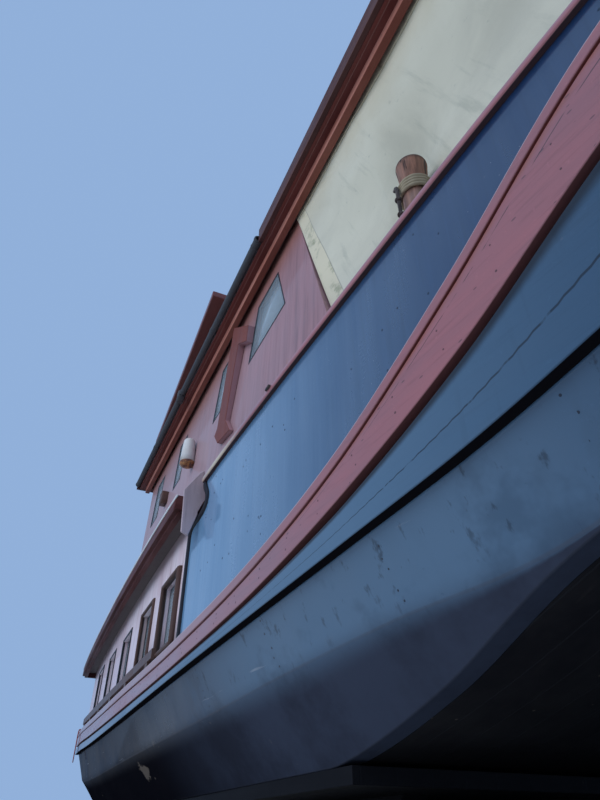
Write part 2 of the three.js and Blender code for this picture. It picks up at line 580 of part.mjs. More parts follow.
// Inside the saloon the aft roof has no edge board: its slab runs on to the saloon's floor
const UNDER_SALOON = 1890;
const underSaloon = (grow, z0, z1) =>
  block(AFT_ROOF_FORE_X - 200, AFT_ROOF_FORE_X + 5 * grow, -UNDER_SALOON - grow, UNDER_SALOON + grow, z0, z1);
const aftRoof = () => fuse(aftRoofParts.slab, underSaloon(0, AFT_ROOF_Z, aftRoofTop));
const aftRoofEdge = () => cut(fuse(aftRoofParts.outer, aftRoofParts.under), underSaloon(GAP, AFT_ROOF_Z - 230, AFT_ROOF_Z + 270));
const ROOF_HATCH = { x: 1250, half: 300, wall: 30, coaming: 70, lid: 35 };
function mainRoof() {
  const { x0, x1, half } = WHEELHOUSE;
  const rim = hatchFrame(ROOF_HATCH, MAIN_ROOF_Z, mainRoofTop + ROOF_HATCH.coaming);
  const ledge = 60;
  const well = block(x0 + ledge, x1 - ledge, -half + ledge, half - ledge, MAIN_ROOF_Z - 10, mainRoofTop + 90);
  const hole = hatchHole(ROOF_HATCH, MAIN_ROOF_Z - 10, mainRoofTop + ROOF_HATCH.coaming + 10);
  return cut(fuse(mainRoofParts.slab, rim), well, hole);
}

// Saloon: leaning side walls, raked front
const saloonHalf = (z) => SALOON_HALF - TUMBLEHOME * (z - RAIL_DATUM_Z);
const frontX = (z) => CABIN_FRONT_X - CABIN_FRONT_RAKE * (z - RAIL_DATUM_Z);
const saloonTop = MAIN_ROOF_Z - GAP;
const saloonFloorTop = AFT_ROOF_Z + AFT_ROOF_THICK - 12;
function saloonFloor() {
  const inset = STRAKE_OUT + BULWARK + GAP;
  const edge = rowsBetween(0, CABIN_FRONT_X + 220).map((row) => side(row, inset, 0));
  const whole = plate([...edge.map(([x, y]) => [x, y]), ...[...edge].reverse().map(([x, y]) => [x, -y])],
    AFT_ROOF_Z, saloonFloorTop);
  const fore = frontX(saloonFloorTop) - CABIN_WALL - GAP;
  return keep(whole, block(AFT_ROOF_FORE_X + GAP, fore, -BESIDE.out, BESIDE.out, AFT_ROOF_Z - 10, saloonFloorTop + 10));
}
// Saloon windows in side view: foot and head corners
const SALOON_Z = { sill: 3340, head: 3900 };
const SALOON_WINDOWS = [
  { aft: [520, 650], fore: [1300, 1095] },
  { aft: [-480, -350], fore: [-130, -20] },
  { aft: [-2000, -1950], fore: [-1700, -1650] },
  { aft: [-3120, -3060], fore: [-2780, -2720] },
];
function saloonWindow({ aft, fore }) {
  const { sill, head } = SALOON_Z;
  return sidePlate([[aft[0], sill], [fore[0], sill], [fore[1], head], [aft[1], head]], -BESIDE.out, -BESIDE.in);
}
// A slab that leans with the saloon's side, between two depths behind its face
function leaningSlab({ x0, x1, outer, inner, z0, z1 }) {
  const row = (x) => [[z0, inner], [z0, outer], [z1, outer], [z1, inner]].map(([z, d]) => [x, -(saloonHalf(z) - d), z]);
  return loft([row(x0), row(x1)]);
}
const AHEAD_X = 3000; // clear of the saloon's front
function saloonWall() {
  const foot = saloonFloorTop + GAP;
  const slab = leaningSlab({ x0: SALOON_BACK_X, x1: AHEAD_X - 400, outer: 0, inner: CABIN_WALL, z0: foot, z1: saloonTop });
  const [low, high] = [foot - 190, saloonTop + 190];
  const ahead = sidePlate([[frontX(low), low], [AHEAD_X, low], [AHEAD_X, high], [frontX(high), high]],
    -BESIDE.out, -BESIDE.in);
  return cut(slab, ahead, ...SALOON_WINDOWS.map(saloonWindow));
}
// Raked front wall: (z, y) outlines pushed into the plane of the rake
function rakedSlab(z0, z1, halfLow, halfHigh, front, back) {
  const row = (shift) => [[z0, -halfLow], [z0, halfLow], [z1, halfHigh], [z1, -halfHigh]]
    .map(([z, y]) => [frontX(z) - shift, y, z]);
  return loft([row(back), row(front)]);
}
// A block square to the raked front, between two depths behind its face. Heights are at the face.
function squareToFront({ y0, y1, z0, z1, outer, inner }) {
  const long = Math.hypot(1, CABIN_FRONT_RAKE);
  const row = (depth) => [[y0, z0], [y1, z0], [y1, z1], [y0, z1]]
    .map(([y, z]) => [frontX(z) - depth / long, y, z - (depth * CABIN_FRONT_RAKE) / long]);
  return loft([row(inner), row(outer)]);
}
const insideSaloon = (z) => saloonHalf(z) - CABIN_WALL - GAP;
const FRONT_DOOR = { y0: -320, z0: saloonFloorTop + 45, high: 1700 };
const FRONT_WINDOWS = [-1560, -960, 460, 1060];
const FRONT_PANE_WIDE = 500;
function saloonFront() {
  const upper = rakedSlab(saloonFloorTop - 1, saloonTop, insideSaloon(saloonFloorTop), insideSaloon(saloonTop), 0, CABIN_WALL);
  const beside = (z) => rowAt(frontX(z)).half - STRAKE_OUT - BULWARK - 3;
  const lower = rakedSlab(foredeckTop + GAP, saloonFloorTop, beside(foredeckTop), beside(saloonFloorTop), 0, CABIN_WALL);
  const { y0, z0, high } = FRONT_DOOR;
  const open = squareToFront({ y0, y1: y0 + DOOR.wide, z0, z1: z0 + high, outer: -60, inner: CABIN_WALL + 60 });
  return cut(fuse(upper, lower), open, ...FRONT_WINDOWS.map((y) =>
    block(1000, AHEAD_X, y, y + FRONT_PANE_WIDE, SALOON_Z.sill, SALOON_Z.head)));
}
function frontDoor() {
  const g = DOOR.gap;
  const { y0, z0, high } = FRONT_DOOR;
  const leaf = squareToFront({ y0: y0 + g, y1: y0 + DOOR.wide - g, z0: z0 + g, z1: z0 + high - g,
    outer: 2, inner: 2 + DOOR.thick });
  const out = HINGE.out * Math.hypot(1, CABIN_FRONT_RAKE); // measured along X
  const hinges = [z0 + 200, z0 + high - 200].flatMap((z) => {
    const [foot, head] = [z - HINGE.half, z + HINGE.half];
    const barrel = rod([frontX(foot) + out, HINGE.y, foot], [frontX(head) + out, HINGE.y, head], HINGE.r, 16);
    const strap = squareToFront({ y0: HINGE.y - HINGE.strap, y1: HINGE.y - 5, z0: z - 25, z1: z + 25,
      outer: -HINGE.plate - 3, inner: 3 });
    return [barrel, strap];
  });
  return fuse(leaf, ...hinges);
}
// Two steps up to the saloon's door
const STEPS = { tread: 280, half: 350, off: 12 };
function frontSteps() {
  const { tread, half, off } = STEPS;
  const x = frontX(foredeckTop) + off;
  const rise = (FRONT_DOOR.z0 - foredeckTop) / 3;
  return sidePlate([[x, foredeckTop + GAP], [x + 2 * tread, foredeckTop + GAP], [x + 2 * tread, foredeckTop + rise],
    [x + tread, foredeckTop + rise], [x + tread, foredeckTop + 2 * rise], [x, foredeckTop + 2 * rise]], -half, half);
}

const SALOON_BACK_WINDOWS = [-1500, -850, 350, 1000];
function saloonBack() {
  const { sill, head } = SALOON_Z;
  const [z0, z1] = [aftRoofTop + GAP, saloonTop];
  const outline = [[-insideSaloon(z0), z0], [insideSaloon(z0), z0], [insideSaloon(z1), z1], [-insideSaloon(z1), z1]];
  const wall = endPlate(outline, SALOON_BACK_X, SALOON_BACK_X + CABIN_WALL);
  return cut(wall, ...SALOON_BACK_WINDOWS.map((y) =>
    block(SALOON_BACK_X - 10, SALOON_BACK_X + CABIN_WALL + 10, y, y + FRONT_PANE_WIDE, sill, head)));
}
// Glazing inside the saloon's walls, one sheet bent round all four and open at the door
function saloonGlass() {
  const [z0, z1] = [SALOON_Z.sill - 50, SALOON_Z.head + 50];
  const room = (depth, z) => {
    const half = saloonHalf(z) - depth;
    const [back, front] = [SALOON_BACK_X + depth, frontX(z) - depth];
    return [[back, -half, z], [front, -half, z], [front, half, z], [back, half, z]];
  };
  const solid = (depth, low, high) => loft([room(depth, low), room(depth, high)], ([x, y]) => [x, y]);
  const face = CABIN_WALL + GAP;
  const ring = cut(solid(face, z0, z1), solid(face + WINDOW.pane, z0 - 50, z1 + 50));
  const clear = DOOR.wide / 2 + 40;
  return cut(ring, block(frontX(z1) - 200, AHEAD_X, -clear, clear, z0 - 10, z1 + 10));
}

// Raised wheelhouse roof: walls with a raked front, and a slab with an overhang
function wheelhouseSides() {
  const { x0, x1, half, z, rake } = WHEELHOUSE;
  const z0 = mainRoofTop + GAP;
  const outline = (inset, low, high) => [
    [x0 + inset, low], [x1 - inset - rake * (low - z0), low],
    [x1 - inset - rake * (high - z0), high], [x0 + inset, high],
  ];
  const solid = sidePlate(outline(0, z0, z), -half, half);
  return cut(solid, sidePlate(outline(CABIN_WALL, z0 - 5, z + 5), -half + CABIN_WALL, half - CABIN_WALL));
}
const WHEELHOUSE_ROOF = { half: 2032, tapersFrom: -400, taper: 0.05, fore: 80, aft: 150 };
const wheelhouseRoofHalf = (x) => WHEELHOUSE_ROOF.half - Math.max(0, (WHEELHOUSE_ROOF.tapersFrom - x) * WHEELHOUSE_ROOF.taper);
function wheelhouseRoof() {
  const { x0, x1, z, rake, roof } = WHEELHOUSE;
  const front = x1 - rake * (z - mainRoofTop) + WHEELHOUSE_ROOF.fore;
  return plate(roofPlan(x0 - WHEELHOUSE_ROOF.aft, front, wheelhouseRoofHalf, 4), z + GAP, z + roof);
}

// Gutter pipe along the eave, with its joint and outlet
function gutter() {
  const { r, z, joint } = GUTTER;
  const y = (x) => -(mainRoofHalf(x) - EDGE_BOARD + r + 2 * GAP);
  const aft = MAIN_ROOF_AFT_X + EDGE_BOARD + 5;
  const pipe = rod([aft, y(aft), z], [ROOF_TAPER.aftFrom, y(ROOF_TAPER.aftFrom), z], r);
  const fore = rod([ROOF_TAPER.aftFrom, y(ROOF_TAPER.aftFrom), z], [GUTTER.fore, y(ROOF_TAPER.aftFrom), z], r);
  const box = block(joint - 90, joint + 90, y(joint) - 46, y(joint) + 30, z - 95, z + 40);
  return fuse(pipe, fore, box);
}

// Saloon side fittings, cut to the wall's face
const offSide = (geometry) => cut(geometry, leaningSlab({ x0: SALOON_BACK_X - 500, x1: AHEAD_X, outer: -GAP, inner: 1500,
  z0: saloonFloorTop - 190, z1: saloonTop + 190 }));
// Projecting frame beside the side window: a leaning bar with a short arm at its foot and a long one at its head
const SIDE_FRAME = {
  y: -1870, deep: 160, foot: [[-98, 3030], [-170, 2980], [-48, 2840], [287, 2780], [140, 2970]],
  head: [[342, 3685], [575, 3530], [600, 3700], [163, 4038]],
};
const sideFrame = () => offSide(sidePlate([...SIDE_FRAME.foot, ...SIDE_FRAME.head], SIDE_FRAME.y, SIDE_FRAME.y + SIDE_FRAME.deep));
// Samson posts inside the bulwark
const POST = { x: 2790, y: 1672, z: 3100, r: 85 };
function samsonPost() {
  const foot = foredeckTop + GAP;
  const profile = [[0, foot], [POST.r - 10, foot], [POST.r - 10, ROPE.z1 + 5], [POST.r + 5, POST.z - 25],
    [POST.r, POST.z], [0, POST.z]];
  return new THREE.LatheGeometry(profile.map(([r, z]) => new THREE.Vector2(r, z)), 20)
    .rotateX(Math.PI / 2).translate(POST.x, -POST.y, 0);
}
// Mooring rope: turns round the post, and the tail that hangs from them
const ROPE = { r: 12, z0: 2790, z1: 2910, tail: 11 };
function ropeTurns() {
  const inner = POST.r - 10 + GAP;
  const ring = [[inner, ROPE.z0], [inner + 2 * ROPE.r, ROPE.z0], [inner + 2 * ROPE.r, ROPE.z1], [inner, ROPE.z1], [inner, ROPE.z0]];
  return new THREE.LatheGeometry(ring.map(([r, z]) => new THREE.Vector2(r, z)), 20)
    .rotateX(Math.PI / 2).translate(POST.x, -POST.y, 0);
}

function ropeTail() {
  const { x, y } = POST;
  const out = POST.r - 10 + 2 * ROPE.r + ROPE.tail + 1.2;
  const route = [
    [x - 60, -y - out + 18, ROPE.z1 - 20], [x - 20, -y - out, ROPE.z1 - 60], [x - 12, -y - out - 4, ROPE.z0 - 60],
    [x - 22, -y - out + 8, ROPE.z0 - 170], [x - 4, -y - out + 14, ROPE.z0 - 300],
  ];
  return tube(route, ROPE.tail, 24, 8);
}
// Rope loop that hangs over the strakes near the stern
const LOOP = { x: -6480, wide: 60, r: 7, drop: 420, inset: 75 };
function sternLoop() {
  const { x, wide, r, drop, inset } = LOOP;
  const half = (dx) => rowAt(x + dx).half;
  const top = rowAt(x).top + r + 2.5;
  const over = 8 + r + 5;
  const leg = (dx) => [
    [x + dx, -half(dx) + inset, top], [x + dx, -half(dx) + 25, top + 4], [x + dx, -half(dx) - 10, top + 4],
    [x + dx, -half(dx) - over, top - 40], [x + dx * 0.9 + 3, -half(dx) - over, top - drop * 0.6],
  ];
  const bight = [x + wide / 2, -half(0) - over - 1, top - drop];
  return tube([...leg(0), bight, ...leg(wide).reverse()], r, 40, 8);
}

// Canvas screens from the roof's edge down to the inside of the bulwark.
// Columns: x, then y at each of the heights: foot, middle, upper, head
const SCREEN_Z = [2270, 3200, 3700, MAIN_ROOF_Z - GAP];
const SCREEN = [
  [2165, 1790, 1800, 1800, 1800],
  [2500, 1650, 1640, 1760, 1805],
  [2790, 1548, 1545, 1730, 1810],
  [3200, 1580, 1600, 1740, 1810],
  [4200, 1560, 1590, 1670, 1715],
  [5330, 1330, 1380, 1500, 1590],
];
const CLOTH = 14;
const OFF_FRONT = 12; // the first column follows the saloon's raked front, this far off it
function canvasScreen() {
  return loft(SCREEN.map(([x, ...ys], i) => {
    const at = (z) => (i === 0 ? frontX(z) + OFF_FRONT : x);
    const face = ys.map((y, k) => [at(SCREEN_Z[k]), -y, SCREEN_Z[k]]);
    const back = ys.map((y, k) => [at(SCREEN_Z[k]), -(y - CLOTH), SCREEN_Z[k]]).reverse();
    return [...face, ...back];
  }));
}
// Posts and beam that carry the roof's forward end
const ARCH = { x: 5285, half: 45, y: 1240, beam: 110 };
function roofArch() {
  const { x, half, y, beam } = ARCH;
  const top = MAIN_ROOF_Z - GAP;
  const post = (s) => block(x - half, x + half, s * y - half, s * y + half, foredeckTop + GAP, top);
  return fuse(post(-1), post(1), block(x - half, x + half, -y, y, top - beam, top));
}

// Stern gear
const SHAFT_Z = 262;
const PROP = { x: -6690, r: 185, hub: 48, aft: 80, fore: 70, blade: 14, pitch: 0.55, shaft: 24 };
function propeller() {
  const hub = rod([PROP.x - PROP.aft, 0, SHAFT_Z], [PROP.x + PROP.fore, 0, SHAFT_Z], PROP.hub, 16);
  const tip = PROP.r;
  const blades = [0, 1, 2].map((i) => {
    const outline = new THREE.Shape();
    outline.moveTo(-38, 25);
    outline.bezierCurveTo(-110, 90, -100, tip, 0, tip);
    outline.bezierCurveTo(100, tip, 110, 90, 38, 25);
    return new THREE.ExtrudeGeometry(outline, { depth: PROP.blade, bevelEnabled: false, curveSegments: 6 })
      .translate(0, 0, -PROP.blade / 2).rotateX(Math.PI / 2).rotateZ(Math.PI / 2).rotateZ(PROP.pitch)
      .rotateX((i * 2 * Math.PI) / 3).translate(PROP.x, 0, SHAFT_Z);
  });
  const shaft = rod([PROP.x, 0, SHAFT_Z], [KEEL.x0 - GAP, 0, SHAFT_Z], PROP.shaft, 12);
  return fuse(hub, shaft, ...blades);
}

const RUDDER = { x: -6960, aft: -7250, fore: -6905, half: 26, stock: 32, foot: 70, head: 1180, top: 1690 };
const TILLER = { aft: 30, fore: 360, half: 28, z0: 1640, z1: 1700 };
function rudder() {
  const { x, aft, fore, half, stock, foot, head, top } = RUDDER;
  const blade = sidePlate([[aft, foot], [fore, foot], [fore, head], [aft + 60, head], [aft, head - 280]], -half, half);
  const post = rod([x, 0, head - 580], [x, 0, top], stock, 16);
  const tiller = block(x - TILLER.aft, x + TILLER.fore, -TILLER.half, TILLER.half, TILLER.z0, TILLER.z1);
  return fuse(blade, post, tiller);
}
// Gudgeon blocks that carry the rudder's stock off the transom
const GUDGEONS = [1230, 1370];
function gudgeons() {
  const face = TRANSOM_X + 2.8; // the planking ends a little forward of the datum
  const eyes = GUDGEONS.map((z) => block(RUDDER.x - 60, face, -70, 70, z, z + 45));
  const back = block(face - 20, face, -90, 90, GUDGEONS[0] - 30, GUDGEONS[1] + 50);
  const bore = rod([RUDDER.x, 0, GUDGEONS[0] - 130], [RUDDER.x, 0, GUDGEONS[1] + 130], RUDDER.stock + 1, 16);
  return cut(fuse(back, ...eyes), bore);
}
const ENGINE = { x0: 350, x1: 1390, half: 330, z1: 1250 };
const engine = () => {
  const z0 = BOTTOM_Z + 70 + GAP;
  return block(ENGINE.x0, ENGINE.x1, -ENGINE.half, ENGINE.half, z0, ENGINE.z1);
};

const group = new THREE.Group();
function add(name, geometry, material) {
  const mesh = new THREE.Mesh(geometry, material);
  mesh.name = name;
  group.add(mesh);
}

const hull = hullPieces();
add("hull_bottom", hull.bottom, paint(BLACK, 0.6));
add("transom", hull.transom, paint(NAVY, 0.35));
add("bottom_and_keels", bottomDoubling(), paint(BLACK, 0.7));
add("stem_post", stemPost(), paint(NAVY, 0.4));
for (const [name, flip] of [["starboard", (g) => g], ["port", mirrored]]) {
  add(`hull_side_${name}`, flip(hull.side), paint(NAVY, 0.35));
  add(`rubbing_strakes_${name}`, flip(beforeStem(strakes())), paint(MAROON, 0.45));
  add(`wale_${name}`, flip(beforeStem(wale())), paint(NAVY, 0.35));
  add(`bulwark_${name}`, flip(fuse(beforeStem(bulwark()), bulwarkEnd())), paint(NAVY, 0.35));
  add(`cap_rail_${name}`, flip(beforeStem(capRail())), paint(MAROON, 0.6));
  add(`aft_cabin_wall_${name}`, flip(aftWall()), paint(DULL_RED, 0.6));
  add(`saloon_wall_${name}`, flip(saloonWall()), paint(DULL_RED, 0.6));
  add(`canvas_screen_${name}`, flip(canvasScreen()), paint(CANVAS, 0.9));
  add(`roof_end_bracket_${name}`, flip(roofBracket()), paint(DULL_RED, 0.6));
  add(`toe_rail_${name}`, flip(toeRail()), paint(BROWN, 0.6));
  add(`samson_post_${name}`, flip(samsonPost()), paint(OAK, 0.8));
  add(`gutter_${name}`, flip(gutter()), paint(BLACK, 0.4));
  add(`side_door_frame_${name}`, flip(sideFrame()), paint(DARK_RED, 0.5));
  add(`glass_aft_cabin_${name}`, flip(aftGlass()), paint(GLASS, 0.1));
}
add("foredeck", foredeck(), paint(DECK, 0.8));
add("foredeck_hatch", hatchLid(HATCH, foredeckTop + HATCH.coaming), paint(MAROON, 0.5));
add("front_steps", frontSteps(), paint(OAK, 0.7));
add("roof_arch", roofArch(), paint(DARK_RED, 0.6));
add("aft_cabin_bulkhead", aftBulkhead(), paint(DULL_RED, 0.6));
add("aft_cabin_door", aftDoor(), paint(DARK_RED, 0.5));
add("aft_deck", within(-6900, AFT_CABIN_BACK_X + CABIN_WALL, AFT_DECK_Z, aftDeckTop), paint(DECK, 0.8));
add("aft_cabin_sole", within(AFT_CABIN_BACK_X, ENGINE_BULKHEAD_X - GAP, AFT_SOLE_Z, AFT_SOLE_Z + 20), paint(DECK, 0.8));
add("aft_cabin_roof", aftRoof(), paint(DECK, 0.7));
add("aft_roof_edge", aftRoofEdge(), paint(BROWN, 0.6));
add("saloon_floor", saloonFloor(), paint(DECK, 0.8));
add("saloon_front", saloonFront(), paint(DULL_RED, 0.6));
add("saloon_door", frontDoor(), paint(DARK_RED, 0.5));
add("saloon_back", saloonBack(), paint(DULL_RED, 0.6));
add("main_roof", mainRoof(), paint(DECK, 0.7));
add("main_roof_edge", mainRoofEdge(), paint(BROWN, 0.6));
add("roof_hatch", hatchLid(ROOF_HATCH, mainRoofTop + ROOF_HATCH.coaming), paint(MAROON, 0.5));
add("wheelhouse_sides", wheelhouseSides(), paint(DARK_RED, 0.5));
add("wheelhouse_roof", wheelhouseRoof(), paint(DARK_RED, 0.5));
add("glass_saloon", saloonGlass(), paint(GLASS, 0.1));
add("mooring_rope_turns", ropeTurns(), paint(ROPE_TAN, 0.9));
add("mooring_rope_tail", ropeTail(), paint(ROPE_TAN, 0.9));
add("stern_rope_loop", sternLoop(), paint(ROPE_RED, 0.9));
add("propeller", propeller(), paint(BRONZE, 0.4, 0.8));
add("rudder", rudder(), paint(METAL, 0.6, 0.4));
add("rudder_gudgeons", gudgeons(), paint(METAL, 0.6, 0.4));
add("engine_bulkhead", within(ENGINE_BULKHEAD_X, ENGINE_BULKHEAD_X + 30, BOTTOM_Z, AFT_ROOF_Z - GAP), paint(OAK, 0.7));
add("engine_block", engine(), paint(METAL, 0.6, 0.4));
export default group;
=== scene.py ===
"""Looks of a two-level wooden houseboat that stands hauled out on its keel runners.

Every length is in metres, in the part's frame: +X to the bow, +Y to port, +Z up.
The hull's own lines are smooth curves through a short table of stations, the same as in the part's source.
"""

import json
import math

import bmesh
import bpy
import numpy as np
from mathutils import Matrix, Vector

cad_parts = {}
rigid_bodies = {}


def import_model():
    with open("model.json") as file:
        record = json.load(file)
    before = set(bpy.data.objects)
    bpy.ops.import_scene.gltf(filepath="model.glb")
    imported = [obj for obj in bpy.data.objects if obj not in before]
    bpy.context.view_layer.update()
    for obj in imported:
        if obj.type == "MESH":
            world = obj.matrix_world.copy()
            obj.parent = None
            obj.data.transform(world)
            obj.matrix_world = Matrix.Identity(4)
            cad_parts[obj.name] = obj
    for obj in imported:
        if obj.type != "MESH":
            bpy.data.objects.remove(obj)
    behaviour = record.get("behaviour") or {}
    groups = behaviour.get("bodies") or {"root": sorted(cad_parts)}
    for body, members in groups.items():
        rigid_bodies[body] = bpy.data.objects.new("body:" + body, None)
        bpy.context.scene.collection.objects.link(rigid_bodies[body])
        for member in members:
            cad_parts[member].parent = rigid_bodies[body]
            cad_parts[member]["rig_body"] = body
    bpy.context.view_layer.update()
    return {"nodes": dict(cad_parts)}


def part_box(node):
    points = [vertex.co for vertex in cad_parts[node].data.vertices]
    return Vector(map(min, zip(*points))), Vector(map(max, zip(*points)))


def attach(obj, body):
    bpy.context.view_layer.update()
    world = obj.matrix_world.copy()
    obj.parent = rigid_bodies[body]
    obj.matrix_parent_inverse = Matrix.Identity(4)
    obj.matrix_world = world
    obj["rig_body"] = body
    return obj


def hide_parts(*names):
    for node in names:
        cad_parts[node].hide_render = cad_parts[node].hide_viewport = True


bl_info = {
    "name": "Wooden houseboat",
    "version": (1, 0, 0),
    "blender": (4, 5, 0),
    "location": "3D View > Sidebar > Houseboat",
    "description": "Builds the planking, finishes, canvas and ropes of a wooden houseboat",
    "category": "Object",
}

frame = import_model()
NODES = frame["nodes"]
BOAT = "boat"
SIDES = ("starboard", "port")

# Driving sizes of the boat, as in its construction
GAP = 0.0003
STRAKE_OUT = 0.055
PLANK = 0.070
BULWARK = 0.040
BOTTOM_Z = 0.300
BOTTOM_THICK = 0.070
TRANSOM_FACE_X = -6.760
BOTTOM_FORE_X = 6.500
ROOM_FORE_X = 6.650
STEM_X = 7.149
SEAM_IN = 0.100
WALE_PULL = 0.6
RAIL_END_X = 0.170
RAIL_HIGH = 0.045
BULWARK_END_X = -0.130
NARROW_HIGH = 0.062
NARROW_PROUD = 0.008
CABIN_FRONT_X = 2.080
CABIN_FRONT_RAKE = 0.34
SALOON_HALF = 1.840
TUMBLEHOME = 0.03
RAIL_DATUM_Z = 2.400
MAIN_ROOF_HALF = 2.000
MAIN_ROOF_AFT_X = -3.770
MAIN_ROOF_FORE_X = 5.450
AFT_ROOF_Z = 2.130
AFT_ROOF_OVERHANG = 0.140
AFT_ROOF_FORE_X = 0.095
AFT_ROOF_BACK_X = -6.090
BOARD_FROM_X = 1.130
DEEP_BOARD = (0.115, 0.170, 4.080)
POST = {"x": 2.790, "y": 1.672, "z": 3.100, "r": 0.085}
ROPE = {"r": 0.012, "z0": 2.790, "z1": 2.910, "tail": 0.011}
LOOP = {"x": -6.480, "wide": 0.060, "r": 0.007, "drop": 0.420, "inset": 0.075}
SCREEN_Z = (2.270, 3.200, 3.700, 4.2097)
SCREEN_Y = np.array([
    [1.790, 1.800, 1.800, 1.800],
    [1.650, 1.640, 1.760, 1.805],
    [1.548, 1.545, 1.730, 1.810],
    [1.580, 1.600, 1.740, 1.810],
    [1.560, 1.590, 1.670, 1.715],
    [1.330, 1.380, 1.500, 1.590],
])
SCREEN_X = (2.165, 2.500, 2.790, 3.200, 4.200, 5.330)

# Hull stations, stern to stem
COLUMNS = ("x", "half", "rail", "top", "low", "wale", "chine_half", "chine_z", "low_half", "low_z", "pull")
STATIONS = np.array([
    [-6.850, 1.790, 1.700, 1.425, 1.235, 1.130, 1.610, 0.800, 1.400, 0.560, 0.000],
    [-5.700, 1.875, 1.800, 1.355, 1.170, 1.065, 1.725, 0.710, 1.490, 0.400, 0.000],
    [-4.300, 1.950, 2.000, 1.270, 1.085, 0.985, 1.810, 0.650, 1.560, 0.300, 0.000],
    [-2.000, 2.030, 2.250, 1.180, 1.000, 0.920, 1.850, 0.650, 1.580, 0.300, 0.000],
    [0.100, 2.050, 2.341, 1.150, 0.985, 0.915, 1.850, 0.655, 1.570, 0.300, 0.000],
    [1.400, 1.995, 2.380, 1.260, 1.070, 0.960, 1.800, 0.690, 1.560, 0.300, 0.000],
    [2.300, 1.940, 2.410, 1.450, 1.215, 1.005, 1.735, 0.712, 1.570, 0.470, 0.000],
    [3.100, 1.880, 2.450, 1.770, 1.430, 1.060, 1.655, 0.722, 1.640, 0.690, 0.000],
    [3.900, 1.800, 2.500, 2.185, 1.770, 1.190, 1.550, 0.930, 1.535, 0.900, 0.000],
    [4.900, 1.650, 2.600, 2.460, 2.030, 1.370, 1.370, 1.180, 1.355, 1.150, 0.040],
    [5.800, 1.380, 2.700, 2.575, 2.160, 1.560, 1.090, 1.440, 1.075, 1.410, 0.120],
    [6.500, 1.010, 2.790, 2.665, 2.270, 1.740, 0.740, 1.680, 0.725, 1.650, 0.230],
    [7.000, 0.560, 2.860, 2.735, 2.370, 1.900, 0.370, 1.850, 0.355, 1.820, 0.350],
    [7.200, 0.120, 2.900, 2.775, 2.420, 1.985, 0.080, 1.945, 0.070, 1.915, 0.440],
])


def station_curve(name, share):
    """Centripetal Catmull-Rom curve of (x, value) through the stations, at shares 0 to 1 of their count."""
    points = STATIONS[:, [0, COLUMNS.index(name)]]
    padded = np.vstack([2 * points[0] - points[1], points, 2 * points[-1] - points[-2]])
    place = np.clip(share, 0, 1) * (len(points) - 1)
    start = np.minimum(place.astype(int), len(points) - 2)
    w = (place - start)[:, None]
    p0, p1, p2, p3 = (padded[start + k] for k in range(4))
    d0, d1, d2 = (np.sqrt(np.linalg.norm(b - a, axis=1))[:, None] for a, b in ((p0, p1), (p1, p2), (p2, p3)))
    leave = ((p1 - p0) / d0 - (p2 - p0) / (d0 + d1) + (p2 - p1) / d1) * d1
    arrive = ((p2 - p1) / d1 - (p3 - p1) / (d1 + d2) + (p3 - p2) / d2) * d1
    return (p1 * (2 * w**3 - 3 * w**2 + 1) + leave * (w**3 - 2 * w**2 + w)
            + p2 * (3 * w**2 - 2 * w**3) + arrive * (w**3 - w**2))


SHARES = np.linspace(0, 1, 2601)
LINE_X = station_curve("half", SHARES)[:, 0]
LINES = {name: station_curve(name, SHARES)[:, 1] for name in COLUMNS if name != "x"}
LINES["low_z"] = np.maximum(LINES["low_z"], BOTTOM_Z)
SLOPE = np.gradient(LINES["half"], LINE_X)


def hull_at(x):
    """The hull's lines at any x, with the plan's outward normal.

    Abaft the transom the plan runs straight on.
    """
    x = np.asarray(x, float)
    row = {name: np.interp(x, LINE_X, line) for name, line in LINES.items()}
    slope = np.interp(x, LINE_X, SLOPE)
    row["half"] = row["half"] + np.where(x < LINE_X[0], (x - LINE_X[0]) * SLOPE[0], 0)
    length = np.sqrt(1 + slope**2)
    row.update(x=x, nx=-slope / length, ny=1 / length)
    return row


def side_point(row, inset, z, pull=0.0):
    """A point of the starboard side, set in from the strakes' line along the plan's normal."""
    x = row["x"] - row["nx"] * inset - pull
    y = -np.maximum(row["half"] - row["ny"] * inset, 0)
    return np.stack(np.broadcast_arrays(x, y, z), -1)


def saloon_half(z):
    """The saloon's half-width at a height, less higher up."""
    return SALOON_HALF - TUMBLEHOME * (z - RAIL_DATUM_Z)


def front_x(z):
    """Where the saloon's raked front stands at a height."""
    return CABIN_FRONT_X - CABIN_FRONT_RAKE * (z - RAIL_DATUM_Z)


def main_roof_half(x):
    """The main roof's half-width, narrowing a little aft and more towards the bow."""
    return MAIN_ROOF_HALF - np.maximum(0, (-x - 1.0) * 0.004) - np.maximum(0, (x - 3.3) * 0.11)


def aft_roof_half(x):
    """The after roof's half-width, which overhangs the hull's sides."""
    return hull_at(x)["half"] + AFT_ROOF_OVERHANG


# Meshes from grids


def lengths_along(points):
    """Distance run along a row of points, from 0."""
    return np.concatenate([[0], np.cumsum(np.linalg.norm(np.diff(points, axis=0), axis=1))])


def rounded(section, radius):
    """Each corner of a closed section[rows, corners, 3] gives way to three points.

    Two lie a radius away along the corner's two edges, and one 0.29 of the way in between: a fillet.
    """
    def step(towards):
        edge = towards - section
        length = np.linalg.norm(edge, axis=2, keepdims=True)
        return edge / np.maximum(length, 1e-9) * np.minimum(radius, 0.45 * length)

    back = step(np.roll(section, 1, axis=1))
    on = step(np.roll(section, -1, axis=1))
    parts = np.stack([section + back, section + 0.29 * (back + on), section + on], 2)
    return parts.reshape(len(section), -1, 3)


def spread_uv(grid, marks):
    """UV with U the metres run along the middle of a grid and V the mark of each of its columns."""
    along = lengths_along(grid[:, grid.shape[1] // 2])
    return np.stack(np.broadcast_arrays(along[:, None], np.asarray(marks, float)[None, :]), -1)


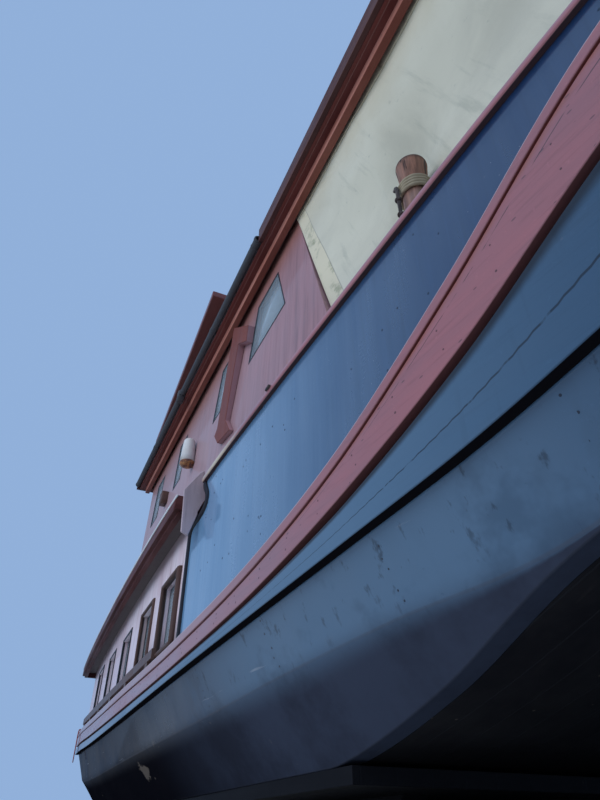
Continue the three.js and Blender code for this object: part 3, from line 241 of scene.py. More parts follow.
def grid_mesh(name, grid, ring=False, loop=False, caps=False, uv=None):
    """A sheet or tube over grid[along, round].

    ring joins each row's ends, loop joins the last row to the first, and caps puts a lid on each end.
    """
    grid = np.asarray(grid, float)
    rows, count = grid.shape[:2]
    r = np.arange(rows if loop else rows - 1)[:, None]
    i = np.arange(count if ring else count - 1)[None, :]
    r2 = (r + 1) % rows
    i2 = (i + 1) % count
    corners = (r * count + i, r * count + i2, r2 * count + i2, r2 * count + i)
    faces = np.stack(corners, -1).reshape(-1, 4).tolist()
    if caps:
        faces.append(list(range(count))[::-1])
        faces.append(list(range((rows - 1) * count, rows * count)))
    mesh = bpy.data.meshes.new(name)
    mesh.from_pydata(grid.reshape(-1, 3).tolist(), [], faces)
    if uv is None:
        middle = grid[rows // 2]
        around = lengths_along(np.vstack([middle, middle[:1]]))[:count]
        uv = spread_uv(grid, around)
    corner = np.zeros(len(mesh.loops), np.int32)
    mesh.loops.foreach_get("vertex_index", corner)
    layer = mesh.uv_layers.new(name="run")
    layer.data.foreach_set("uv", np.asarray(uv, float).reshape(-1, 2)[corner].astype(np.float32).ravel())
    mesh.polygons.foreach_set("use_smooth", np.full(len(mesh.polygons), True))
    mesh.update()
    return mesh


def turned_out(mesh, merge=1e-5):
    """Merges doubles and points every face outwards."""
    work = bmesh.new()
    work.from_mesh(mesh)
    bmesh.ops.remove_doubles(work, verts=work.verts, dist=merge)
    bmesh.ops.recalc_face_normals(work, faces=work.faces)
    work.to_mesh(mesh)
    work.free()
    return mesh


def closed_mesh(name, grid, uv=None):
    """A closed body over grid[along, round], with a lid at each end and its faces turned out."""
    return turned_out(grid_mesh(name, grid, ring=True, caps=True, uv=uv))


def joined(name, meshes):
    """Several meshes as one, with their UVs."""
    work = bmesh.new()
    for mesh in meshes:
        work.from_mesh(mesh)
    whole = bpy.data.meshes.new(name)
    work.to_mesh(whole)
    work.free()
    return whole


def port_copy(mesh):
    """The mirror image for the port side, with its faces turned out again."""
    other = mesh.copy()
    place = np.zeros(len(other.vertices) * 3, np.float32)
    other.vertices.foreach_get("co", place)
    place[1::3] *= -1
    other.vertices.foreach_set("co", place)
    other.flip_normals()
    other.update()
    return other


def link(name, mesh, finish, body=BOAT, replaces=()):
    """Puts a mesh in the scene as a finished piece that rides on a body."""
    piece = bpy.data.objects.new(name, mesh)
    bpy.context.scene.collection.objects.link(piece)
    mesh.materials.clear()
    mesh.materials.append(finish)
    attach(piece, body)
    if replaces:
        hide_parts(*replaces)
    return piece


def flat_faces(piece):
    """Lets broad faces set the shading, so that small eased edges only catch the light."""
    weighted = piece.modifiers.new("flat faces", "WEIGHTED_NORMAL")
    weighted.keep_sharp = True
    return piece


def both_sides(name, mesh, finish, node=None, flat=True):
    """The starboard piece and its mirror image, each standing for its own node if there is one."""
    made = []
    for side in SIDES:
        own = mesh if side == "starboard" else port_copy(mesh)
        piece = link(f"{name}_{side}", own, finish, replaces=(f"{node}_{side}",) if node else ())
        made.append(flat_faces(piece) if flat else piece)
    return made


def eased(node, finish, width=0.004, segments=2):
    """A merged copy of a flat-sided node with its edges eased. It stands for the node."""
    source = NODES[node]
    mesh = source.data.copy()
    mesh.name = f"{node}_eased"
    work = bmesh.new()
    work.from_mesh(mesh)
    bmesh.ops.remove_doubles(work, verts=work.verts, dist=2e-5)
    bmesh.ops.dissolve_limit(work, angle_limit=math.radians(1.0), verts=work.verts, edges=work.edges)
    work.to_mesh(mesh)
    work.free()
    mesh.polygons.foreach_set("use_smooth", np.full(len(mesh.polygons), True))
    piece = link(mesh.name, mesh, finish, body=source["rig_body"], replaces=(node,))
    bevel = piece.modifiers.new("eased edges", "BEVEL")
    bevel.width = width
    bevel.segments = segments
    bevel.limit_method = "ANGLE"
    bevel.angle_limit = math.radians(35)
    bevel.use_clamp_overlap = True
    return flat_faces(piece)


def block_mesh(name, low, high, ease=0.003):
    """A block between two corners, with its upright edges eased."""
    (x0, y0, z0), (x1, y1, z1) = low, high
    plan = np.array([[x0, y0], [x1, y0], [x1, y1], [x0, y1]])
    section = np.stack([np.column_stack([plan, np.full(4, z)]) for z in (z0, z1)])
    return closed_mesh(name, rounded(section, ease))


def tube_grid(path, radius, sides=12, guide=(0, 0, 1)):
    """Circles carried along a path, square to it. guide is a direction that the path never runs along."""
    path = np.asarray(path, float)
    tangent = np.gradient(path, axis=0)
    tangent /= np.linalg.norm(tangent, axis=1)[:, None]
    across = np.cross(tangent, np.asarray(guide, float))
    across /= np.linalg.norm(across, axis=1)[:, None]
    up = np.cross(tangent, across)
    angle = np.linspace(0, 2 * np.pi, sides, endpoint=False)
    ring = np.cos(angle)[None, :, None] * across[:, None] + np.sin(angle)[None, :, None] * up[:, None]
    radius = np.asarray(radius, float)
    if radius.ndim < 2:
        radius = np.broadcast_to(radius.reshape(-1, 1), (len(path), sides))
    return path[:, None] + radius[:, :, None] * ring


def tube_mesh(name, path, radius, sides=12, guide=(0, 0, 1)):
    """A closed tube along a path."""
    return closed_mesh(name, tube_grid(path, radius, sides, guide))


def smooth_path(points, count):
    """A Catmull-Rom curve through given points, at even distances."""
    points = np.asarray(points, float)
    padded = np.vstack([2 * points[0] - points[1], points, 2 * points[-1] - points[-2]])
    place = np.linspace(0, len(points) - 1, 60 * len(points))
    i = np.minimum(place.astype(int), len(points) - 2)
    w = (place - i)[:, None]
    p0, p1, p2, p3 = (padded[i + k] for k in range(4))
    dense = 0.5 * (2 * p1 + (p2 - p0) * w + (2 * p0 - 5 * p1 + 4 * p2 - p3) * w**2
                   + (3 * p1 - p0 - 3 * p2 + p3) * w**3)
    run = lengths_along(dense)
    even = np.linspace(0, run[-1], count)
    return np.stack([np.interp(even, run, dense[:, k]) for k in range(3)], 1)


def bezier(p0, p1, p2, p3, count):
    """A cubic curve from p0 to p3, pulled towards p1 and p2."""
    t = np.linspace(0, 1, count)[:, None]
    p0, p1, p2, p3 = (np.asarray(p, float) for p in (p0, p1, p2, p3))
    return (1 - t)**3 * p0 + 3 * (1 - t)**2 * t * p1 + 3 * (1 - t) * t**2 * p2 + t**3 * p3


def lathe_mesh(name, profile, centre, turns=40):
    """A profile of (radius, height) turned about an upright line, closed at both ends."""
    profile = np.asarray(profile, float)
    angle = np.linspace(0, 2 * np.pi, turns, endpoint=False)
    x = centre[0] + profile[:, :1] * np.cos(angle)
    y = centre[1] + profile[:, :1] * np.sin(angle)
    return closed_mesh(name, np.stack(np.broadcast_arrays(x, y, profile[:, 1:]), -1))


def dots_mesh(name, places, outward, radius, proud=0.0008, sides=10):
    """Shallow domed discs on a surface: a rim sunk a little below it and a raised middle ring."""
    places, outward = np.asarray(places, float), np.asarray(outward, float)
    outward = outward / np.linalg.norm(outward, axis=1)[:, None]
    across = np.cross(outward, [0.3, 0.2, 0.93])
    across /= np.linalg.norm(across, axis=1)[:, None]
    up = np.cross(outward, across)
    angle = np.linspace(0, 2 * np.pi, sides, endpoint=False)
    ring = np.cos(angle)[None, :, None] * across[:, None] + np.sin(angle)[None, :, None] * up[:, None]
    radius = np.broadcast_to(np.asarray(radius, float), (len(places),))[:, None, None]
    rim = places[:, None] + radius * ring - outward[:, None] * 0.0015
    crown = places[:, None] + 0.8 * radius * ring + outward[:, None] * proud
    points = np.concatenate([rim, crown], 1).reshape(-1, 3)
    base = np.arange(len(places))[:, None] * 2 * sides
    k = np.arange(sides)[None, :]
    k2 = (k + 1) % sides
    walls = np.stack([base + k, base + k2, base + sides + k2, base + sides + k], -1).reshape(-1, 4).tolist()
    lids = (base + sides + k).tolist()
    backs = (base + k[:, ::-1]).tolist()
    mesh = bpy.data.meshes.new(name)
    mesh.from_pydata(points.tolist(), [], walls + lids + backs)
    mesh.polygons.foreach_set("use_smooth", np.full(len(mesh.polygons), False))
    return turned_out(mesh, 1e-6)


# Finishes: nodes written as expressions


class Wire:
    """One output of a finish's nodes. Arithmetic on wires adds Math nodes."""

    def __init__(self, finish, socket):
        self.finish = finish
        self.socket = socket

    def _math(self, operation, *terms):
        return self.finish.node("ShaderNodeMath", {"operation": operation}, dict(enumerate(terms)))

    def __add__(self, other):
        return self._math("ADD", self, other)

    def __sub__(self, other):
        return self._math("SUBTRACT", self, other)

    def __rsub__(self, other):
        return self._math("SUBTRACT", other, self)

    def __mul__(self, other):
        return self._math("MULTIPLY", self, other)

    def __truediv__(self, other):
        return self._math("DIVIDE", self, other)

    __radd__ = __add__
    __rmul__ = __mul__

    def over(self, limit):
        """1 where this is more than the limit, and 0 elsewhere."""
        return self._math("GREATER_THAN", self, limit)

    def between(self, low, high):
        return self.over(low) * (1 - self.over(high))

    def size(self):
        return self._math("ABSOLUTE", self)

    def sine(self):
        return self._math("SINE", self)

    def repeat(self, length):
        """Place within the nearest stretch of that length, from -1/2 to 1/2 of it."""
        return self._math("FRACT", self / length) - 0.5

    def rise(self, low, high):
        """0 below low, 1 above high, smooth between."""
        return self.finish.node("ShaderNodeMapRange", {"interpolation_type": "SMOOTHSTEP"},
                                {"Value": self, "From Min": low, "From Max": high})


class Finish:
    """A painted, woven or worn surface, built up from nodes."""

    def __init__(self, name, **constants):
        self.material = bpy.data.materials.new(name)
        self.material.use_nodes = True
        self.tree = self.material.node_tree
        self.tree.nodes.clear()
        self.shader = self.tree.nodes.new("ShaderNodeBsdfPrincipled")
        output = self.tree.nodes.new("ShaderNodeOutputMaterial")
        self.tree.links.new(self.shader.outputs["BSDF"], output.inputs["Surface"])
        for socket, value in constants.items():
            self.shader.inputs[socket.replace("_", " ")].default_value = value
        self.place = self.node("ShaderNodeTexCoord", {}, {}, "Object")
        self.run = self.node("ShaderNodeUVMap", {"uv_map": "run"}, {}, "UV")

    def node(self, kind, settings, inputs, output=0):
        """Adds one node: its settings first, then the values or wires of its sockets."""
        made = self.tree.nodes.new(kind)
        for key, value in settings.items():
            setattr(made, key, value)
        for key, value in inputs.items():
            self.feed(made.inputs[key], value)
        return Wire(self, made.outputs[output])

    def feed(self, socket, value):
        if isinstance(value, Wire):
            self.tree.links.new(value.socket, socket)
        elif socket.type == "RGBA":
            socket.default_value = (*value[:3], 1)
        else:
            socket.default_value = value

    def surface(self, **inputs):
        """Feeds the shader and returns the finished material."""
        for key, value in inputs.items():
            self.feed(self.shader.inputs[key.replace("_", " ")], value)
        return self.material

    def parts(self, vector):
        return [self.node("ShaderNodeSeparateXYZ", {}, {"Vector": vector}, axis) for axis in "XYZ"]

    def stretched(self, x, y, z, at=None):
        """A place with each part multiplied: a small multiple draws a pattern out along that axis."""
        return self.node("ShaderNodeVectorMath", {"operation": "MULTIPLY"},
                         {0: self.place if at is None else at, 1: (x, y, z)})

    def noise(self, scale, detail=3.0, rough=0.55, at=None, warp=0.0):
        return self.node("ShaderNodeTexNoise", {}, {
            "Vector": self.place if at is None else at, "Scale": scale, "Detail": detail,
            "Roughness": rough, "Distortion": warp}, "Fac")

    def cells(self, scale, at=None, output="Distance"):
        inputs = {"Vector": self.place if at is None else at, "Scale": scale}
        return self.node("ShaderNodeTexVoronoi", {}, inputs, output)

    def mix(self, share, first, second):
        return self.node("ShaderNodeMix", {"data_type": "RGBA"}, {0: share, 6: first, 7: second}, 2)

    def bump(self, height, distance):
        return self.node("ShaderNodeBump", {}, {"Height": height, "Distance": distance, "Strength": 1.0})


def shade(colour, by):
    """The same colour, darker or lighter."""
    return tuple(min(1.0, c * by) for c in colour[:3])


def towards(colour, other, share):
    """A colour part of the way to another."""
    return tuple(a + (b - a) * share for a, b in zip(colour[:3], other[:3]))


GREY_WOOD = (0.20, 0.16, 0.13)
CHALK = (0.52, 0.53, 0.56)
RUST = (0.30, 0.10, 0.035)
UPRIGHT = (7.0, 7.0, 0.7)
NEAR_BLACK = (0.010, 0.009, 0.011)
MILDEW = (0.16, 0.18, 0.13)


def painted(name, colour, faded, brush, rough=0.35, coat=0.3, fade=0.6, chips=0.15, relief=0.0006, more=None,
            level=0.5, matt=None):
    """Brushed paint: cloudy fading, strokes drawn out along the brush, chips and fine grit.

    brush multiplies the place before the stroke noise, so its smallest part is the stroke's direction.
    more takes the finish and its colour so far, and returns the colour with what is special to one piece.
    level is the strength of the bare paint's own shine, and matt a share, made by the finish, without gloss.
    """
    f = Finish(name, Coat_Roughness=0.06, Specular_IOR_Level=level)
    strokes = f.noise(1.0, 4, 0.6, at=f.stretched(*brush))
    hairs = f.noise(4.3, 2, 0.5, at=f.stretched(*brush))
    cloud = f.noise(0.85, 5, 0.62, warp=0.4)
    grit = f.noise(55.0, 3, 0.6)
    share = cloud.rise(0.36, 0.66) * 0.6 + strokes.rise(0.40, 0.64) * 0.4
    tone = f.mix(share * fade, colour, faded)
    tone = f.mix(hairs.rise(0.52, 0.72) * 0.30, tone, shade(colour, 0.62))
    tone = f.mix(grit.rise(0.60, 0.80) * 0.35, tone, shade(faded, 1.25))
    chipped = f.cells(11.0).rise(0.085, 0.05) * f.noise(2.3, 2).rise(0.52, 0.60)
    tone = f.mix(chipped * chips, tone, towards(faded, GREY_WOOD, 0.6))
    if more:
        tone = more(f, tone)
    wear = share * 0.22 + grit * 0.10 + strokes * 0.08
    gloss = coat * (1 - share * 0.4 - chipped * 0.4)
    if matt:
        wear = wear + matt(f) * 0.4
        gloss = gloss * (1 - matt(f))
    height = strokes * 0.55 + hairs * 0.25 + grit * 0.20 - chipped * chips * 2.0
    return f.surface(Base_Color=tone, Roughness=wear + rough, Coat_Weight=gloss,
                     Normal=f.bump(height, relief))


def low_side(f):
    """1 on the planking below the upper chine, 0 well above it."""
    return f.parts(f.run)[1].rise(2.25, 1.70)


def hull_matt(f):
    """Where the planking doesn't shine: the lower side, and more of the topside aft."""
    low = low_side(f)
    return low + (1 - low) * f.parts(f.place)[0].rise(0.5, -3.5) * 0.8


def underside(f):
    """1 on the face that lies before a section's second corner."""
    return 1 - f.parts(f.run)[1].over(0.97)


def hull_blue(name, paint):
    """Navy gloss above the chine and black below it, with drips, scratches, rubbed edges and bare spots; a
    lighter band amidships and a bluer lower side forward are painted sky reflection.
    """
    def more(f, tone):
        x, _, z = f.parts(f.place)
        v = f.parts(f.run)[1]
        long_noise = f.noise(1.0, 4, 0.6, at=f.stretched(1.1, 4.0, 26.0))
        below = low_side(f)
        drips = f.noise(1.0, 4, 0.65, at=f.stretched(15.0, 15.0, 0.9))
        dirt = f.noise(1.6, 5, 0.65)
        grime = f.mix(dirt.rise(0.38, 0.62), (0.025, 0.024, 0.030), (0.048, 0.041, 0.040))
        # a lighter blue band amidships: painted sky reflection
        tone = f.mix(x.rise(4.2, 2.6) * x.rise(-0.4, 1.2) * 0.7, tone, (0.140, 0.230, 0.330))
        # dark mottling: dirt, and painted unevenness in the gloss's sheen
        tone = f.mix(dirt.rise(0.48, 0.62) * 0.35, tone, shade(paint.navy, 0.55))
        tone = f.mix(x.rise(1.7, -1.9) * 0.92, tone, grime)
        tone = f.mix(drips.rise(0.60, 0.70) * z.rise(0.55, 0.95) * 0.55, tone, (0.012, 0.013, 0.018))
        tone = f.mix(long_noise.rise(0.68, 0.74) * 0.35, tone, CHALK)
        # the lower side: black paint aft, lighter and bluer forward as a painted sky sheen
        lower_paint_and_sheen = f.mix(x.rise(-1.5, 1.2), (0.007, 0.007, 0.010), (0.052, 0.062, 0.092))
        sludge = f.mix(dirt.rise(0.4, 0.7) * 0.45, lower_paint_and_sheen, shade(paint.black, 1.3))
        tone = f.mix(below, tone, sludge)
        rubbed = (v - 2.0).size().rise(0.05, 0.02) + (v - 1.0).size().rise(0.05, 0.02) * 0.8
        tone = f.mix(rubbed * dirt * 0.5, tone, (0.080, 0.080, 0.095))
        bare = below * f.noise(3.1, 4, 0.6, at=f.stretched(0.55, 1.0, 1.6)).rise(0.66, 0.70)
        tone = f.mix(bare * 0.7, tone, GREY_WOOD)
        return f.mix(v.over(5.5), tone, (0.19, 0.17, 0.14))
    return painted(name, paint.navy, shade(paint.navy, 1.35), (2.2, 2.2, 0.35), rough=0.26, coat=0.75,
                   fade=0.5, chips=0.2, relief=0.0014, more=more, level=0.0, matt=hull_matt)


def bulwark_blue(name, paint):
    """Blue gloss with fine upright streaks, painted lighter towards its after end as sky reflection."""
    def more(f, tone):
        x = f.parts(f.place)[0]
        streaks = f.noise(1.0, 3, 0.6, at=f.stretched(34.0, 34.0, 1.1))
        runs = f.noise(1.0, 3, 0.6, at=f.stretched(11.0, 11.0, 0.5))
        tone = f.mix(streaks.rise(0.50, 0.72) * 0.30, tone, shade(paint.blue, 1.6))
        tone = f.mix(runs.rise(0.60, 0.70) * 0.35, tone, shade(paint.blue, 0.55))
        tone = f.mix(f.cells(26.0).rise(0.06, 0.04) * f.noise(3.0, 2).rise(0.52, 0.6) * 0.5, tone, CHALK)
        # lighter towards the after end: painted sky reflection, streaked
        light = f.mix(streaks, (0.108, 0.238, 0.400), (0.190, 0.345, 0.520))
        return f.mix(x.rise(3.4, -0.15) * 0.92, tone, light)
    return painted(name, paint.blue, shade(paint.blue, 1.3), (7.0, 7.0, 0.45), rough=0.14, coat=1.0, fade=0.5,
                   chips=0.2, relief=0.0003, more=more)


def strake_maroon(name, paint):
    """Two boards in maroon gloss, with a pale line on the upper one: a painted highlight along its top edge.

    Below lie an orange tint, the groove, a dark crack and bungs. The groove and the broad board's underside
    are painted darker as shade, and both boards are painted lighter aft as sky reflection.
    """
    def more(f, tone):
        v = f.parts(f.run)[1]
        x = f.parts(f.place)[0]
        dull = f.noise(1.0, 4, 0.6, at=f.stretched(1.3, 6.0, 22.0))
        tint = v.rise(1.84, 1.97) * v.between(1.0, 2.0) * dull.rise(0.20, 0.6)
        tone = f.mix(tint * 0.8, tone, shade(paint.orange, 0.8))
        crack = (v - 1.80 - (f.noise(1.0, 3) - 0.5) * 0.06).size().rise(0.012, 0.004) * dull.rise(0.42, 0.54)
        tone = f.mix(crack * 0.8, tone, (0.030, 0.012, 0.012))
        # the groove, the broad board's top and the narrow board's underside: painted shade
        tone = f.mix(v.between(2.0, 4.98), tone, (0.160, 0.034, 0.028))
        # lighter and greyer aft, the narrow board more so: painted sky reflection
        tone = f.mix(x.rise(3.0, 0.0) * 0.40, tone, (0.36, 0.24, 0.27))
        tone = f.mix(v.over(5.02) * x.rise(1.6, -0.4) * 0.55, tone, (0.42, 0.28, 0.28))
        # pale line on the narrow board's top edge: painted highlight
        tone = f.mix(v.over(5.92) * (0.35 + dull * 0.4), tone, (0.60, 0.52, 0.54))
        # the broad board's underside: painted shade
        tone = f.mix(1 - v.over(0.98), tone, (0.150, 0.048, 0.046))
        bungs = f.cells(1.0, at=f.stretched(9.0, 0.0, 24.0)).rise(0.12, 0.08) * v.between(1.05, 1.95)
        return f.mix(bungs * 0.55, tone, (0.030, 0.012, 0.016))
    return painted(name, paint.maroon, shade(paint.maroon, 1.5), (0.9, 3.0, 16.0), rough=0.30, coat=0.55,
                   chips=0.5, more=more, matt=underside)


def rail_maroon(name, paint):
    """The cap rail: maroon gloss with a painted lilac highlight on its upper edge, bare cream aft, and dark
    underneath: dark paint deepened by painted shade.
    """
    def more(f, tone):
        x = f.parts(f.place)[0]
        v = f.parts(f.run)[1]
        dull = f.noise(1.0, 4, 0.6, at=f.stretched(1.6, 8.0, 20.0))
        # lilac along the upper edge: painted highlight
        tone = f.mix(v.between(1.55, 2.3) * (0.15 + dull * 0.4), tone, (0.34, 0.22, 0.27))
        bare = x.rise(1.15, 0.45) * f.noise(5.0, 4, 0.6, at=f.stretched(0.35, 1.0, 2.0)).rise(0.34, 0.52)
        tone = f.mix(bare * 0.80, tone, paint.cream)
        # dark underside: dark paint deepened by painted shade
        return f.mix(1 - v.over(0.98), tone, (0.050, 0.024, 0.028))
    return painted(name, paint.maroon, shade(paint.maroon, 1.6), (0.8, 3.0, 16.0), rough=0.28, coat=0.60,
                   chips=0.35, more=more, matt=underside)


def shaded_faces(f):
    """1 on the wale's underside and in the cove along its top: painted near-black, as black paint and painted
    shade.
    """
    return 1 - f.parts(f.run)[1].between(0.97, 1.99)


def wale_blue(name, paint):
    """The lower blue band, painted lighter aft as sky reflection, with a fine seam along it, a painted shadow
    under the cove, and its underside and cove painted near-black as shade.
    """
    def more(f, tone):
        v = f.parts(f.run)[1]
        runs = f.noise(1.0, 3, 0.6, at=f.stretched(14.0, 14.0, 0.9))
        tone = f.mix(runs.rise(0.56, 0.70) * 0.45, tone, shade(paint.navy, 0.45))
        # lighter aft: painted sky reflection
        tone = f.mix(f.parts(f.place)[0].rise(4.4, 2.0) * 0.8, tone, (0.105, 0.185, 0.275))
        seam = (v - 1.42).size().rise(0.016, 0.006) * runs.rise(0.30, 0.45)
        # a dark seam, and a painted shadow on the face's upper part under the cove
        tone = f.mix(seam * 0.7 + v.rise(1.80, 1.93) * 0.85, tone, NEAR_BLACK)
        # underside and cove: black paint and painted shade
        return f.mix(shaded_faces(f), tone, NEAR_BLACK)
    return painted(name, shade(paint.navy, 0.70), shade(paint.navy, 0.95), (0.9, 3.0, 14.0), rough=0.24,
                   coat=0.80, fade=0.5, chips=0.35, more=more, level=0.0, matt=shaded_faces)


def saloon_red(name, paint):
    """Faded dull red with upright brush strokes, an orange tint under the eave and rust flecks low down,
    painted lighter aft as sheen and darker at the foot as shade.
    """
    def more(f, tone):
        x, _, z = f.parts(f.place)
        strokes = f.noise(1.0, 4, 0.65, at=f.stretched(16.0, 16.0, 0.7))
        tone = f.mix(strokes.rise(0.42, 0.70) * 0.45, tone, shade(paint.wall, 1.55))
        tone = f.mix(strokes.rise(0.50, 0.34) * 0.35, tone, shade(paint.wall, 0.50))
        # lighter aft: painted sheen
        tone = f.mix(x.rise(2.2, -2.2) * 0.7, tone, (0.42, 0.29, 0.31))
        tone = f.mix(z.rise(3.65, 4.12) * 0.75, tone, (0.27, 0.095, 0.060))
        flecks = f.noise(1.0, 5, 0.7, at=f.stretched(9.0, 9.0, 4.0)).rise(0.62, 0.70) * z.rise(3.3, 2.3)
        tone = f.mix(flecks * 0.75, tone, (0.36, 0.13, 0.045))
        # dark at the foot, by the rail and deck: painted shade
        return f.mix(z.rise(2.36, 2.21) * 0.65, tone, (0.06, 0.03, 0.03))
    return painted(name, paint.wall, shade(paint.wall, 1.4), (5.0, 5.0, 0.6), rough=0.42, coat=0.25, fade=0.7,
                   chips=0.3, relief=0.0008, more=more)


def side_frame(name, paint):
    """The frame beside the side window: dark orange-red on its outer face, and a lighter wall red elsewhere,
    painted as sky light on the other faces.
    """
    def more(f, tone):
        # the outer face dark orange-red; the other faces lighter, painted as lit by the sky
        outside = f.parts(f.place)[1].size().rise(1.862, 1.868)
        return f.mix(outside, shade(paint.wall, 1.35), tone)
    return painted(name, (0.155, 0.034, 0.020), (0.21, 0.056, 0.034), UPRIGHT, rough=0.50, coat=0.05,
                   chips=0.4, more=more)


def cabin_pink(name, paint):
    """The aft cabin's faded pink sides, with brown stains running down beside the windows, and painted shade
    at the foot and under the eave.
    """
    def more(f, tone):
        z = f.parts(f.place)[2]
        runs = f.noise(1.0, 4, 0.65, at=f.stretched(8.0, 8.0, 0.8))
        tone = f.mix(runs.rise(0.56, 0.70) * 0.6, tone, (0.30, 0.16, 0.12))
        # dark at the foot, by the deck: painted shade
        tone = f.mix(z.rise(1.45, 1.20) * 0.6, tone, (0.07, 0.045, 0.045))
        # dark under the after eave: painted shade
        return f.mix(z.rise(1.95, 2.08) * 0.5, tone, (0.08, 0.035, 0.03))
    return painted(name, paint.pink, (0.84, 0.76, 0.80), (5.0, 5.0, 0.7), rough=0.4, fade=0.7, chips=0.3,
                   relief=0.0008, more=more)


def cornice(name, paint):
    """The eaves' boards. The run map's V tells them apart.

    0 to 7 is the main eave's underside, 10 to 13 its deep board, 20 to 23 its outer board,
    and 30 to 37 the after eave. Undersides are painted darker as shade, and light edge lines as highlights.
    """
    def more(f, tone):
        v = f.parts(f.run)[1]
        dull = f.noise(1.0, 4, 0.6, at=f.stretched(1.5, 1.5, 20.0)).rise(0.3, 0.7)
        # a thin light line on the outer board's lower edge: painted highlight
        edge_highlight = (v - 22.0).size().rise(0.06, 0.02) * 0.8
        # undersides (1 to 2, 11 to 12) are painted darker than the faces beside them as shade, and the small
        # step (2 to 5) lighter as a highlight on its edge
        for where, dark, pale in (
            (v.between(19.0, 24.0), (0.055, 0.020, 0.018), (0.085, 0.034, 0.029)),
            (edge_highlight, (0.16, 0.08, 0.07), (0.16, 0.08, 0.07)),
            (v.between(1.0, 2.0), (0.095, 0.020, 0.016), (0.145, 0.038, 0.030)),
            (v.between(2.0, 5.0), (0.20, 0.085, 0.070), (0.20, 0.085, 0.070)),
            (v.between(10.0, 11.0), (0.33, 0.115, 0.080), (0.44, 0.190, 0.145)),
            (v.between(11.0, 12.0), (0.18, 0.050, 0.034), (0.25, 0.085, 0.060)),
            (v.over(29.0), (0.060, 0.015, 0.012), (0.105, 0.032, 0.028)),
        ):
            tone = f.mix(where, tone, f.mix(dull, dark, pale))
        return tone
    return painted(name, paint.dark_red, shade(paint.dark_red, 1.6), (0.9, 0.9, 16.0), rough=0.50, coat=0.10,
                   chips=0.3, more=more, level=0.2)


def plain_paint(colour_name, rough, coat, brush, relief=0.0006, by=1.0, fade_by=1.45, chips=0.4):
    """A maker of plain brushed paint in one of the boat's colours."""
    def make(name, paint):
        colour = shade(getattr(paint, colour_name), by)
        return painted(name, colour, shade(colour, fade_by), brush, rough, coat, chips=chips, relief=relief)
    return make


def black_bottom(name, paint):
    """Tarred bottom planking with fore-and-aft seams, slime and bare scrapes, painted darker low down as the
    shade under the hull.
    """
    f = Finish(name, Coat_Roughness=0.3, Specular_IOR_Level=0.1)
    _, y, z = f.parts(f.place)
    slime = f.noise(1.4, 5, 0.65)
    grain = f.noise(1.0, 4, 0.6, at=f.stretched(0.8, 16.0, 16.0))
    seams = y.repeat(0.19).size().rise(0.470, 0.494)
    tone = f.mix(slime.rise(0.35, 0.7), paint.black, (0.024, 0.022, 0.024))
    tone = f.mix(grain.rise(0.62, 0.74) * 0.4, tone, (0.040, 0.034, 0.034))
    tone = f.mix(seams * 0.6, tone, (0.030, 0.030, 0.034))
    tone = f.mix(f.cells(7.0).rise(0.06, 0.03) * 0.5, tone, GREY_WOOD)
    # darker low down, on the bottom and keels: painted shade under the hull
    tone = f.mix(z.rise(0.40, 0.34) * 0.8, tone, shade(paint.black, 0.4))
    return f.surface(Base_Color=tone, Roughness=grain * 0.2 + 0.6, Coat_Weight=slime * 0.04,
                     Normal=f.bump(grain * 0.5 + slime * 0.3 - seams * 0.6, 0.0015))


def oak(name, paint):
    """Weathered grey-brown timber with upright grain, checks and a dark top."""
    f = Finish(name)
    z = f.parts(f.place)[2]
    grain = f.noise(1.0, 5, 0.65, at=f.stretched(42.0, 42.0, 1.3), warp=0.25)
    fine = f.noise(1.0, 3, 0.6, at=f.stretched(160.0, 160.0, 5.0))
    cloud = f.noise(3.0, 4, 0.6)
    checks = f.noise(1.0, 3, 0.5, at=f.stretched(30.0, 30.0, 0.8)).rise(0.62, 0.68)
    tone = f.mix(grain.rise(0.34, 0.66), paint.oak, shade(paint.oak, 0.50))
    tone = f.mix(cloud.rise(0.4, 0.7) * 0.5, tone, towards(paint.oak, (0.34, 0.31, 0.31), 0.6))
    tone = f.mix(fine.rise(0.55, 0.75) * 0.4, tone, shade(paint.oak, 0.38))
    tone = f.mix(checks * 0.85, tone, (0.018, 0.012, 0.010))
    tone = f.mix(z.rise(3.055, 3.085) * 0.75, tone, (0.030, 0.020, 0.018))
    return f.surface(Base_Color=tone, Roughness=grain * 0.2 + 0.62,
                     Normal=f.bump(grain * 0.6 + fine * 0.3 - checks * 1.2, 0.003))


